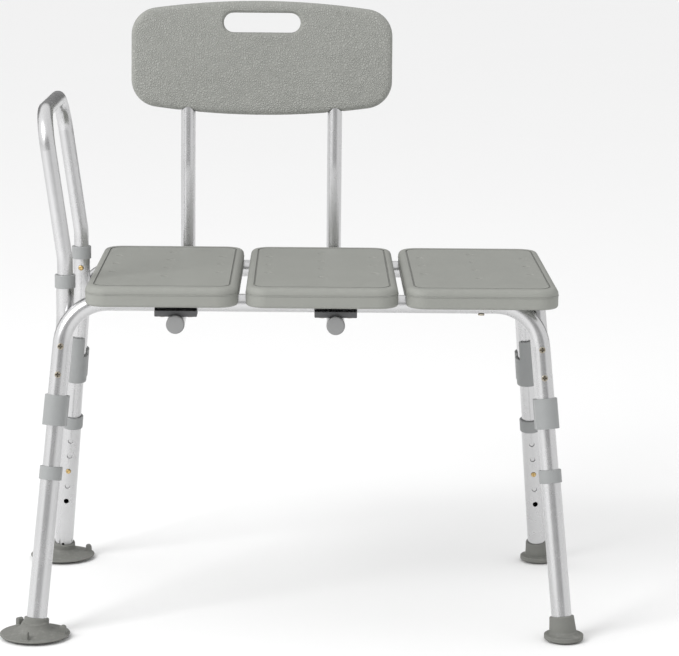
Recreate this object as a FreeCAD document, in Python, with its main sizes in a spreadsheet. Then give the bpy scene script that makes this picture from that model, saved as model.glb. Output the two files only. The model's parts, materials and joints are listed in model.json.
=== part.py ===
import FreeCAD, Part
import math
import os

import Sketcher
from FreeCAD import Placement, Rotation, Vector

# Bath transfer bench: two bent rails carry three moulded seat panels, four posts are screwed to the
# rails' bent ends, a leg telescopes over each post, and a handle and a backrest plug into the frame.
# Frame: +X to the right of a sitter facing -Y, +Y to the back, +Z up, floor at z = 0, millimetres.

doc = FreeCAD.newDocument("transfer_bench")
sheet = doc.addObject("Spreadsheet::Sheet", "Sizes")

UP = Vector(0, 0, 1)
ORIGIN = Vector(0, 0, 0)
SIDES = {"left": -1, "right": 1}
ENDS = {"front": -1, "rear": 1}
CORNERS = [(end, side) for end in ENDS for side in SIDES]

SIZES = [
    ("seat_height", 500, "top of the seat above the floor"),
    ("seat_shift", 28, "middle panel's centre, to the right of the frame's middle"),
    ("panel_width", 214, "one seat panel, side to side"),
    ("panel_gap", 11, "between two panels"),
    ("panel_depth", 410, "front to back"),
    ("panel_height", 28, "rim of a panel, top to bottom"),
    ("panel_corner", 30, "corner radius seen from above"),
    ("panel_top_round", 8, "rounding of the top edge"),
    ("panel_low_round", 4, "rounding of the bottom edge"),
    ("groove_inset", 18, "groove in the seat's top, from the front and back rims"),
    ("groove_side", 10.5, "groove in the seat's top, from the side rims"),
    ("groove_width", 2.4, "groove in the seat's top"),
    ("groove_depth", 1.2, "groove in the seat's top"),
    ("drain_diameter", 6.2, "drain holes"),
    ("drain_mouth", 11.5, "dished mouth of a drain hole"),
    ("drain_dish", 2.2, "depth of the dish"),
    ("parting_stand", 0.5, "moulding's parting line above the face around it"),
    ("parting_height", 1.2, "parting line"),
    ("parting_level", 17, "parting line above a panel's bottom"),
    ("drain_pitch", 77, "between drain holes, both ways"),
    ("drain_shift", 20, "drain pattern's centre, to the back"),
    ("recess_depth", 9, "recess under a panel, between the rails"),
    ("recess_margin", 24, "between a recess and its neighbours"),
    ("frame_tube", 25.4, "outside of rails, posts and receivers"),
    ("frame_wall", 1.25, "their wall"),
    ("leg_wall", 1.25, "wall of the legs, which slide over the posts"),
    ("slim_wall", 1.5, "wall of the handle and backrest tubes, which slide in the receivers"),
    ("slide_play", 0.35, "radial clearance between telescoping pieces"),
    ("rail_drop", 27.5, "rail's centre line below the seat's top"),
    ("rail_bend", 65, "bend radius of a rail's ends"),
    ("tube_gap", 0.4, "between a rail's end and the post beside it"),
    ("foot_spread", 375, "leg line at the floor, from the middle, sideways"),
    ("foot_reach", 218.4, "leg line at the floor, from the middle, front to back"),
    ("lean_side", 0.09, "sideways lean of a leg, run over rise"),
    ("lean_fore", 0.18, "front to back lean of a leg, run over rise"),
    ("leg_start", 12, "lower end of a leg tube, along the leg from the floor"),
    ("leg_length", 228, "leg tube"),
    ("hole_pitch", 25.4, "between height holes"),
    ("hole_count", 5, "height holes in a leg"),
    ("hole_diameter", 8, "height and button holes"),
    ("weep_station", 29, "weep hole at a leg's lower end, along the leg from the floor"),
    ("weep_diameter", 4.5, "weep hole"),
    ("button_diameter", 7.4, "snap button"),
    ("button_dimple", 1.7, "radius of the dimple in a snap button"),
    ("button_stand", 2.0, "snap button above the tube around it"),
    ("button_station", 154, "snap button of a leg, along the leg from the floor"),
    ("post_start", 115, "lower end of a post, along the leg from the floor"),
    ("post_top", 9.4, "upper end of a right-hand post, below the panels"),
    ("receiver_bend", 60, "below the seat's top, where a left post turns upright"),
    ("receiver_radius", 100, "radius of that bend"),
    ("receiver_rise", 5, "top of a left post above the seat's top"),
    ("bracket_start", 302, "bracket's lower end, along the leg from the floor"),
    ("bracket_length", 43, "bracket"),
    ("bracket_wall", 3.6, "bracket around the tubes"),
    ("bracket_floor", 4, "bracket under a rail's tip"),
    ("bracket_tongue", 30, "tongue on the bracket's inner side"),
    ("bracket_waist", 2.2, "depth of the waist between the bracket's two tubes"),
    ("bracket_vent", 6, "round opening in the bracket's inner side"),
    ("snug", 0.15, "radial clearance of a moulded piece on a tube"),
    ("screw_low", 373.8, "lower rail screw, along the leg from the floor"),
    ("screw_high", 413.6, "upper rail screw, along the leg from the floor"),
    ("screw_shank", 4.8, "shank diameter"),
    ("screw_head", 9.0, "head diameter"),
    ("screw_head_height", 2.6, "head"),
    ("recess_span", 6.0, "cross recess in a screw's head, tip to tip"),
    ("recess_slot", 1.7, "its slots' width"),
    ("recess_floor", 0.6, "its floor above the head's seat"),
    ("screw_play", 0.1, "radial clearance of a screw in its hole"),
    ("seat_bite", 11, "seat screw inside a panel, above its rail"),
    ("collar_wall", 1.9, "collar outside the tube it grips"),
    ("collar_height", 19, "collar"),
    ("collar_lip", 3, "collar above the tube it sits on"),
    ("cup_radius", 50, "suction foot at the floor"),
    ("cup_wall", 2.45, "wall of a suction foot's sleeve"),
    ("tab_width", 9, "pull tab of a suction foot"),
    ("tab_thickness", 5, "pull tab"),
    ("tab_height", 16, "pull tab above the floor"),
    ("cup_top", 27, "sleeve's top along the leg"),
    ("tip_radius", 28, "rubber tip at the floor"),
    ("tip_wall", 3.45, "wall of a rubber tip's sleeve"),
    ("tip_top", 36, "sleeve's top along the leg"),
    ("sleeve_start", 3, "lower end of a foot's sleeve, along the leg from the floor"),
    ("cup_lip", 2.2, "rounding of a suction foot's rim"),
    ("cup_hollow", 4, "height of a suction foot's underside at its middle"),
    ("cup_flank", 18, "radius of a suction foot's hollow flank"),
    ("cup_shoulder", 24, "flank's upper end above the floor"),
    ("tip_lip", 2.5, "rounding of a rubber tip's rim"),
    ("tip_flank", 6.2, "radius of a rubber tip's hollow flank"),
    ("tip_flank_height", 13.5, "middle of that radius above the floor"),
    ("tip_shoulder", 22, "flank's upper end above the floor"),
    ("socket_play", 0.05, "radial clearance of a leg in its foot"),
    ("spring_strip", 0.7, "thickness of a leaf spring"),
    ("spring_width", 6, "leaf spring"),
    ("spring_length", 24, "leaf spring below its button"),
    ("spring_clear", 2.2, "leaf spring's middle from the bore's far wall"),
    ("button_root", 6.5, "inner end of a leg's snap button, from the leg's centre line"),
    ("slim_button_root", 5.4, "inner end of the handle's and backrest's snap buttons"),
    ("spring_lap", 0.5, "leaf spring's face nearer the centre line than the button's end"),
    ("tongue_half", 42, "half the tongue's spread around the post, degrees"),
    ("vent_share", 0.62, "bracket's round opening, share of the bracket's length"),
    ("cap_stand", 0.4, "end cap's dome outside its tube's surface"),
    ("cap_round", 2.4, "rounding of an end cap's dome"),
    ("cap_play", 0.1, "radial clearance of an end cap's plug"),
    ("back_soft", 160, "bend radius where the backrest tubes lean back"),
    ("recess_corner", 14, "corner radius of the recess under a panel"),
    ("plate_screw_low", 28, "lower backrest screws above the plate's lower edge"),
    ("plate_screw_high", 72, "upper backrest screws above the plate's lower edge"),
    ("handle_plug", 50, "handle's tube inside its receiver, from the receiver's top"),
    ("handle_kick", 30, "above the seat's top, where the handle turns outwards"),
    ("handle_height", 236, "handle's top bar above the seat's top"),
    ("handle_lean", 0.143, "outward lean of the handle, run over rise"),
    ("handle_bend", 52, "bend radius of the handle's corners"),
    ("handle_button_drop", 24, "handle's snap button below the seat's top"),
    ("saddle_width", 60, "saddle, along the rail"),
    ("saddle_depth", 34, "saddle, front to back"),
    ("saddle_gap", 2.2, "saddle between a rail and a backrest receiver"),
    ("saddle_flange", 3.2, "saddle below the gap between the tubes, under the screws' heads"),
    ("saddle_reach", 3, "saddle up the rail's sides"),
    ("saddle_screw", 19.5, "saddle screw from the saddle's middle"),
    ("back_shift", -65, "backrest's middle, from the frame's middle"),
    ("back_spacing", 225, "between the two backrest tubes"),
    ("back_reach", 225, "upright part of a backrest tube, to the back"),
    ("back_bend", 48, "bend radius under the seat"),
    ("back_plug", 250, "backrest tube's level run"),
    ("back_kick", 122, "above the seat's top, where the tubes lean back"),
    ("back_lean", 5, "backrest's lean, degrees"),
    ("back_button", 100, "backrest's snap buttons, to the back"),
    ("receiver_front", 184, "front end of a backrest receiver"),
    ("receiver_back", 170, "rear end of a backrest receiver"),
    ("cap_length", 4, "end cap outside its tube"),
    ("cap_plug", 12, "end cap inside its tube"),
    ("plate_width", 400, "backrest plate"),
    ("plate_height", 174, "backrest plate, at its middle"),
    ("plate_side", 140, "backrest plate, at its ends"),
    ("plate_thickness", 26, "backrest plate"),
    ("plate_corner", 42, "corner radius of the backrest plate"),
    ("plate_round", 9, "rounded rim of the backrest plate"),
    ("plate_base", 200, "plate's lower edge above the seat's top"),
    ("slot_width", 118, "hand slot"),
    ("slot_height", 30, "hand slot"),
    ("slot_drop", 18, "hand slot below the plate's top edge"),
    ("plate_cover", 95, "backrest tubes inside the plate"),
]


def enter(rows, first):
    """Puts rows of alias, number and meaning on the sheet, from row first on."""
    for row, (alias, number, meaning) in enumerate(rows, start=first):
        sheet.set(f"A{row}", alias)
        sheet.set(f"B{row}", str(number))
        sheet.set(f"C{row}", meaning)
        sheet.setAlias(f"B{row}", alias)
    doc.recompute()


def size(alias):
    return float(sheet.get(alias))


enter(SIZES, 1)

# Sizes that another piece sets: a leg slides over a post, and a slim tube slides in a receiver.
FITTED = [
    ("leg_tube", round(size("frame_tube") + 2 * (size("slide_play") + size("leg_wall")), 4),
     "outside of a leg"),
    ("slim_tube", round(size("frame_tube") - 2 * (size("frame_wall") + size("slide_play")), 4),
     "outside of the handle and backrest tubes"),
]
enter(FITTED, len(SIZES) + 1)


def bind(thing, **expressions):
    """Ties properties of a document object to formulas over the sheet's cells."""
    for name, formula in expressions.items():
        thing.setExpression(name, formula)
    return thing


# ---------------------------------------------------------------- solids from Part primitives

def cylinder(name, radius, height, base=ORIGIN, axis=UP):
    solid = doc.addObject("Part::Cylinder", name)
    solid.Placement = Placement(base, Rotation(UP, axis))
    return bind(solid, Radius=radius, Height=height)


def fused(label, pieces):
    joined = doc.addObject("Part::MultiFuse", label)
    joined.Shapes = pieces
    joined.Label = label
    return joined


def cut(label, base, tools):
    result = doc.addObject("Part::Cut", label)
    result.Base = base
    result.Tool = tools[0] if len(tools) == 1 else fused(label + "_tools", tools)
    result.Label = label
    return result


def grouped(label, pieces):
    group = doc.addObject("Part::Compound", label)
    group.Links = pieces
    group.Label = label
    return group


def straight_tube(label, outside, wall, length, start=ORIGIN, axis=UP, tools=()):
    """Round tube from start along axis; outside, wall and length are formulas."""
    outer = cylinder(label + "_outside", f"{outside} / 2", length, start, axis)
    bore = cylinder(label + "_bore", f"{outside} / 2 - {wall}", length, start, axis)
    return cut(label, outer, [bore, *tools])


def screw(name, seat, outward, length, play):
    """Pan-head screw whose head rests on seat and faces outward; with play, the tool for its hole."""
    head = cylinder(name + "_head", "Sizes.screw_head / 2", "Sizes.screw_head_height", seat, outward)
    body = cylinder(name + "_shank", f"Sizes.screw_shank / 2 + {play}", length, seat, -outward)
    if play:
        return fused(name, [head, body])
    turn = Rotation(UP, outward)
    bars = []
    for axis, quarter in (("across", 0), ("along", 90)):
        bar = doc.addObject("Part::Box", f"{name}_recess_{axis}")
        bind(bar, Length="Sizes.recess_span", Width="Sizes.recess_slot", Height="Sizes.screw_head_height")
        facing = turn.multiply(Rotation(UP, quarter))
        corner = Vector(-size("recess_span") / 2, -size("recess_slot") / 2, size("recess_floor"))
        bar.Placement = Placement(seat + facing.multVec(corner), facing)
        bars.append(bar)
    return cut(name, fused(name + "_blank", [softened(name + "_soft", head, outward, 0.9), body]), bars)


def softened(name, solid, outward, radius):
    """Rounds the rim of a cylinder's end that faces outward."""
    soft = doc.addObject("Part::Fillet", name)
    soft.Base = solid
    doc.recompute()
    rings = [(edge.CenterOfMass.dot(outward), i) for i, edge in enumerate(solid.Shape.Edges, start=1)
             if edge.Curve.TypeId == "Part::GeomCircle"]
    soft.Edges = [(max(rings)[1], radius, radius)]
    return soft


# ---------------------------------------------------------------- bent tubes

def bent_wire(points, radii):
    """Straight runs through points, joined at each inner point by a tangent arc."""
    edges = []
    start = points[0]
    for before, corner, after, radius in zip(points, points[1:], points[2:], radii):
        incoming = (corner - before).normalize()
        outgoing = (after - corner).normalize()
        turn = incoming.getAngle(outgoing)
        reach = radius * math.tan(turn / 2)
        sagitta = radius / math.cos(turn / 2) - radius
        inward = (outgoing - incoming).normalize()
        arc_end = corner + outgoing * reach
        edges.append(Part.makeLine(start, corner - incoming * reach))
        edges.append(Part.Arc(corner - incoming * reach, corner + inward * sagitta, arc_end).toShape())
        start = arc_end
    edges.append(Part.makeLine(start, points[-1]))
    return Part.Wire(edges)


def swept(wire, profile):
    return wire.makePipeShell([profile], True, False)


def ring_at(wire, radius):
    start = wire.Edges[0].firstVertex().Point
    heading = wire.Edges[0].tangentAt(wire.Edges[0].FirstParameter)
    return Part.Wire([Part.makeCircle(radius, start, heading)])


def bent_tube(label, points, radii, outside, wall, tools=()):
    """Tube whose centre line leaves any one plane, so no planar sketch can carry it."""
    wire = bent_wire(points, radii)
    shape = swept(wire, ring_at(wire, outside / 2))
    shape = shape.cut(swept(wire, ring_at(wire, outside / 2 - wall)))
    for tool in tools:
        shape = shape.cut(tool)
    piece = doc.addObject("Part::Feature", label)
    piece.Shape = shape
    piece.Label = label
    return piece


# ---------------------------------------------------------------- sketches and bodies

def new_body(label, placement=Placement()):
    body = doc.addObject("PartDesign::Body", label)
    body.Label = label
    body.Placement = placement
    return body


def new_sketch(body, role, name, lift=0.0):
    plane = next(f for f in body.Origin.OriginFeatures if f.Role == role)
    sketch = body.newObject("Sketcher::SketchObject", name)
    sketch.AttachmentSupport = [(plane, "")]
    sketch.MapMode = "FlatFace"
    sketch.AttachmentOffset = Placement(Vector(0, 0, lift), Rotation())
    return sketch


def constrain(sketch, kind, *where, name=None, formula=None):
    index = sketch.addConstraint(Sketcher.Constraint(kind, *where))
    if name:
        sketch.renameConstraint(index, name)
        sketch.setExpression(f".Constraints.{name}", formula)
    return index


def add_circle(sketch, centre, diameter, name, formula, offsets=None):
    """Circle with its diameter, and where given its centre's offsets, tied to the sheet."""
    circle = sketch.addGeometry(Part.Circle(Vector(*centre, 0), UP, diameter / 2))
    constrain(sketch, "Diameter", circle, diameter, name=name, formula=formula)
    if offsets is None:
        constrain(sketch, "Coincident", circle, 3, -1, 1)
        return circle
    for kind, value, offset in zip(("DistanceX", "DistanceY"), centre, offsets):
        if abs(value) < 1e-9:
            axis = -2 if kind == "DistanceX" else -1
            constrain(sketch, "PointOnObject", circle, 3, axis)
        else:
            constrain(sketch, kind, -1, 1, circle, 3, value, name=name + kind[-1], formula=offset)
    return circle


def add_rounded_box(sketch, width, depth, radius, name, formulas):
    """Rectangle with round corners about the sketch's origin, tied to three formulas."""
    w = width / 2
    d = depth / 2
    lines = [
        ((-w + radius, -d), (w - radius, -d)),
        ((w, -d + radius), (w, d - radius)),
        ((w - radius, d), (-w + radius, d)),
        ((-w, d - radius), (-w, -d + radius)),
    ]
    sides = [sketch.addGeometry(Part.LineSegment(Vector(*a, 0), Vector(*b, 0))) for a, b in lines]
    corners = []
    middles = [(w - radius, -d + radius), (w - radius, d - radius),
               (-w + radius, d - radius), (-w + radius, -d + radius)]
    for quarter, middle in enumerate(middles):
        circle = Part.Circle(Vector(*middle, 0), UP, radius)
        start = (quarter - 1) * math.pi / 2
        corners.append(sketch.addGeometry(Part.ArcOfCircle(circle, start, start + math.pi / 2)))
    for i in range(4):
        constrain(sketch, "Tangent", sides[i], 2, corners[i], 1)
        constrain(sketch, "Tangent", corners[i], 2, sides[(i + 1) % 4], 1)
    for i in range(3):
        constrain(sketch, "Equal", corners[i], corners[i + 1])
    constrain(sketch, "Horizontal", sides[2])
    constrain(sketch, "Vertical", sides[3])
    constrain(sketch, "Symmetric", sides[0], 1, sides[0], 2, -2)
    constrain(sketch, "Symmetric", sides[1], 1, sides[1], 2, -1)
    constrain(sketch, "DistanceX", sides[3], 1, sides[1], 2, width, name=name + "Width", formula=formulas[0])
    constrain(sketch, "DistanceY", sides[0], 1, sides[2], 2, depth, name=name + "Depth", formula=formulas[1])
    constrain(sketch, "Radius", corners[0], radius, name=name + "Corner", formula=formulas[2])


def check_sketch(sketch):
    if sketch.solve() != 0:
        raise RuntimeError(f"{sketch.Name}: its constraints conflict or repeat")


def pad(body, sketch, name, length, **settings):
    check_sketch(sketch)
    feature = body.newObject("PartDesign::Pad", name)
    feature.Profile = sketch
    bind(feature, Length=length)
    for key, value in settings.items():
        setattr(feature, key, value)
    return feature


def pocket(body, sketch, name, length, **settings):
    """Pocket whose result is compared with the solid before it, so a pocket into air is caught."""
    check_sketch(sketch)
    doc.recompute()
    before = body.Shape.Volume
    feature = body.newObject("PartDesign::Pocket", name)
    feature.Profile = sketch
    bind(feature, Length=length)
    for key, value in settings.items():
        setattr(feature, key, value)
    doc.recompute()
    if body.Shape.Volume > before - 1:
        raise RuntimeError(f"{body.Label}: {name} cuts nothing")
    return feature


def rounded(body, base, name, radius, wanted):
    """Fillet on the edges of base for which wanted(edge) is true."""
    doc.recompute()
    edges = [f"Edge{i}" for i, edge in enumerate(base.Shape.Edges, start=1) if wanted(edge)]
    feature = body.newObject("PartDesign::Fillet", name)
    feature.Base = (base, edges)
    return bind(feature, Radius=radius)


# ---------------------------------------------------------------- places worked out from the sheet

seat_top = size("seat_height")
panel_bottom = seat_top - size("panel_height")
rail_height = seat_top - size("rail_drop")
frame_radius = size("frame_tube") / 2
leg_radius = size("leg_tube") / 2
slim_radius = size("slim_tube") / 2
lean_side = size("lean_side")
lean_fore = size("lean_fore")
leg_line = size("foot_spread")
tube_step = size("frame_tube") + size("tube_gap")
# The suction feet reach further out than the rubber tips, so the leg lines' middle lies right of x = 0.
middle_x = (size("cup_radius") - size("tip_radius")) / 2
fore_norm = math.hypot(1, lean_fore)
leg_stretch = math.sqrt(1 + lean_side ** 2 + lean_fore ** 2)


def leg_frame(end, side):
    """Leg's own frame: origin on the floor, z up the leg, y square to it and away from the middle."""
    across = SIDES[side]
    along = ENDS[end]
    upward = Vector(-across * lean_side, -along * lean_fore, 1).normalize()
    outward = Vector(0, along, lean_fore).normalize()
    floor = Vector(middle_x + across * leg_line, along * size("foot_reach"), 0)
    return Placement(floor, Rotation(outward.cross(upward), outward, upward, "ZXY"))


def leg_point(end, side, height):
    """Point of a leg's centre line at a height above the floor."""
    across = SIDES[side]
    along = ENDS[end]
    return Vector(middle_x + across * (leg_line - lean_side * height),
                  along * (size("foot_reach") - lean_fore * height), height)


# A rail's plane lies one tube step outside the plane of its two posts.
rail_foot = rail_height - tube_step * lean_fore / fore_norm
rail_reach = size("foot_reach") - lean_fore * rail_foot + tube_step / fore_norm
rail_corner = leg_line - lean_side * rail_foot
rail_turn = math.pi / 2 - math.atan(lean_side / fore_norm)
rail_straight = rail_corner - size("rail_bend") * math.tan(rail_turn / 2)
rail_tip = size("bracket_start") + size("bracket_floor") + size("tube_gap")
rail_leg = rail_foot * leg_stretch - rail_tip - size("rail_bend") * math.tan(rail_turn / 2)

panel_pitch = size("panel_width") + size("panel_gap")
panel_places = {
    "left": middle_x + size("seat_shift") - panel_pitch,
    "middle": middle_x + size("seat_shift"),
    "right": middle_x + size("seat_shift") + panel_pitch,
}
back_middle = middle_x + size("back_shift")
back_tubes = {side: back_middle + sign * size("back_spacing") / 2 for side, sign in SIDES.items()}
back_height = rail_height - size("frame_tube") - size("saddle_gap")
receiver_height = seat_top - size("receiver_bend")
receiver_top = seat_top + size("receiver_rise")
post_end = (panel_bottom - size("post_top")) * leg_stretch
receiver_x = leg_point("front", "left", receiver_height).x
receiver_y = abs(leg_point("front", "left", receiver_height).y)
saddle_places = {
    (end, side): Vector(back_tubes[side], along * rail_reach, rail_height)
    for end, along in ENDS.items() for side in SIDES
}


# ---------------------------------------------------------------- screws

# A saddle's flange reaches saddle_skirt below the rail; seat screws turn into the panels by seat_bite.
saddle_skirt = size("saddle_gap") + size("saddle_flange")
seat_bite = size("seat_bite")


def place(corner_frame, across, outward, station):
    """Point given in a leg's frame."""
    return corner_frame.multVec(Vector(across, outward, station))


def rail_screws(name, play):
    """Two screws a corner, through the rail's bent end into the post behind it."""
    screws = []
    for end, side in CORNERS:
        frame = leg_frame(end, side)
        outward = frame.Rotation.multVec(Vector(0, 1, 0))
        for station in ("screw_low", "screw_high"):
            seat = place(frame, 0, tube_step + frame_radius + play, size(station))
            screws.append(screw(f"{name}_{end}_{side}_{station}", seat, outward,
                                "Sizes.frame_tube + Sizes.tube_gap + 6", play))
    return screws


def seat_screw_places():
    """On both rails: through a saddle into the left and middle panels, and in the right panel's middle."""
    places = {"left": back_tubes["left"] - size("saddle_screw"),
              "middle": back_tubes["right"] - size("saddle_screw"),
              "right": panel_places["right"]}
    for end, along in ENDS.items():
        for panel, x in places.items():
            yield end, panel, x, along * rail_reach


def seat_screws(name, play):
    """Screws up through the rails into the panels."""
    screws = []
    for end, panel, x, y in seat_screw_places():
        drop = 0 if panel == "right" else saddle_skirt
        seat = Vector(x, y, rail_height - frame_radius - drop - play)
        screws.append(screw(f"{name}_{end}_{panel}", seat, -UP,
                            f"Sizes.frame_tube + {drop + seat_bite + 2 * play}", play))
    return screws


def saddle_screws(name, play):
    """The second screw of each saddle, up into its rail."""
    screws = []
    for (end, side), middle in saddle_places.items():
        seat = middle + Vector(size("saddle_screw"), 0, -frame_radius - saddle_skirt - play)
        length = f"Sizes.frame_tube + {saddle_skirt} - Sizes.frame_wall - 1.75"
        screws.append(screw(f"{name}_{end}_{side}", seat, -UP, length, play))
    return screws


# ---------------------------------------------------------------- rails

def rail(end):
    """Round rail with both ends bent down along the legs, drawn as a half and mirrored."""
    along = ENDS[end]
    outward = Vector(0, along, lean_fore).normalize()
    sideways = Vector(along, 0, 0)
    middle = Vector(middle_x, along * rail_reach, rail_height)
    turn = Rotation(sideways, outward, sideways.cross(outward), "ZXY")
    body = new_body(f"{end}_rail", Placement(middle, turn))

    path = new_sketch(body, "XZ_Plane", f"{end}_rail_path")
    straight = rail_straight
    bend = size("rail_bend")
    lean = rail_turn
    arc_end = Vector(straight + bend * math.sin(lean), -bend * (1 - math.cos(lean)), 0)
    heading = Vector(math.cos(lean), -math.sin(lean), 0)
    level = path.addGeometry(Part.LineSegment(ORIGIN, Vector(straight, 0, 0)))
    circle = Part.Circle(Vector(straight, -bend, 0), UP, bend)
    arc = path.addGeometry(Part.ArcOfCircle(circle, math.pi / 2 - lean, math.pi / 2))
    leg = path.addGeometry(Part.LineSegment(arc_end, arc_end + heading * rail_leg))
    constrain(path, "Coincident", level, 1, -1, 1)
    constrain(path, "Horizontal", level)
    constrain(path, "Tangent", level, 2, arc, 2)
    constrain(path, "Tangent", arc, 1, leg, 1)
    constrain(path, "DistanceX", level, 1, level, 2, straight, name="straight", formula=f"{straight}")
    constrain(path, "Radius", arc, bend, name="bend", formula="Sizes.rail_bend")
    constrain(path, "Distance", leg, rail_leg, name="leg", formula=f"{rail_leg}")
    constrain(path, "Angle", arc, lean, name="turn", formula=f"{math.degrees(lean)} deg")

    section = new_sketch(body, "YZ_Plane", f"{end}_rail_section")
    add_circle(section, (0, 0), 2 * frame_radius, "outside", "Sizes.frame_tube")
    add_circle(section, (0, 0), 2 * frame_radius - 2 * size("frame_wall"), "bore",
               "Sizes.frame_tube - 2 * Sizes.frame_wall")
    pipe = body.newObject("PartDesign::AdditivePipe", f"{end}_rail_pipe")
    pipe.Profile = section
    pipe.Spine = path
    doc.recompute()
    both = body.newObject("PartDesign::Mirrored", f"{end}_rail_both")
    both.Originals = [pipe]
    plane = next(f for f in body.Origin.OriginFeatures if f.Role == "YZ_Plane")
    both.MirrorPlane = (plane, [""])
    body.Tip = both
    return body


def drilled(label, blank, tools):
    """The blank with its screw holes; blank keeps no label of its own."""
    blank.Label = label + "_blank"
    return cut(label, blank, tools)


# ---------------------------------------------------------------- posts, legs and their pieces

def button_hole(name, frame, station):
    """Drill through the inner wall of a leg's tubes."""
    return wall_drill(name, frame, station, "hole_diameter")


def wall_drill(name, frame, station, diameter):
    inward = frame.Rotation.multVec(Vector(0, -1, 0))
    return cylinder(name, f"Sizes.{diameter} / 2", "Sizes.leg_tube", place(frame, 0, 0, station), inward)


def right_post(end, tools):
    frame = leg_frame(end, "right")
    upward = frame.Rotation.multVec(UP)
    start = place(frame, 0, 0, size("post_start"))
    return straight_tube(f"{end}_right_post", "Sizes.frame_tube", "Sizes.frame_wall",
                         f"{post_end} - Sizes.post_start", start, upward, tools)


def left_post(end, tools):
    """Post that turns upright beside the seat and ends as the handle's receiver."""
    start = place(leg_frame(end, "left"), 0, 0, size("post_start"))
    bend = leg_point(end, "left", receiver_height)
    top = Vector(bend.x, bend.y, receiver_top)
    tube = bent_tube(f"{end}_left_post_blank", [start, bend, top], [size("receiver_radius")],
                     size("frame_tube"), size("frame_wall"))
    return cut(f"{end}_left_post", tube, tools)


def leg(end, side):
    """Outer tube of a leg with its row of height holes."""
    frame = leg_frame(end, side)
    upward = frame.Rotation.multVec(UP)
    name = f"{end}_{side}_leg"
    middle = (size("hole_count") - 1) / 2
    holes = [
        button_hole(f"{name}_hole_{i}", frame, size("button_station") + (i - middle) * size("hole_pitch"))
        for i in range(int(size("hole_count")))
    ]
    holes.append(wall_drill(f"{name}_weep", frame, size("weep_station"), "weep_diameter"))
    return straight_tube(name, "Sizes.leg_tube", "Sizes.leg_wall", "Sizes.leg_length",
                         place(frame, 0, 0, size("leg_start")), upward, holes)


def collar(label, frame, top, tube, inner):
    """Ring over a tube's end: it grips the tube and its lip closes in on the inner tube."""
    upward = frame.Rotation.multVec(UP)
    low = frame.multVec(Vector(0, 0, top - size("collar_height") + size("collar_lip")))
    seat = frame.multVec(Vector(0, 0, top))
    ring = cylinder(label + "_ring", f"{tube} / 2 + Sizes.collar_wall",
                    "Sizes.collar_height", low, upward)
    soft = doc.addObject("Part::Fillet", label + "_soft")
    soft.Base = ring
    doc.recompute()
    rims = [i for i, edge in enumerate(ring.Shape.Edges, start=1) if edge.Curve.TypeId == "Part::GeomCircle"]
    soft.Edges = [(i, 1.0, 1.0) for i in rims]
    grip = cylinder(label + "_grip", f"{tube} / 2 + Sizes.snug", "Sizes.collar_height", low, upward)
    grip.setExpression("Height", "Sizes.collar_height - Sizes.collar_lip + Sizes.snug")
    mouth = cylinder(label + "_mouth", f"{inner} / 2 + Sizes.slide_play", "Sizes.collar_height", seat, upward)
    return cut(label, soft, [grip, mouth])


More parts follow.
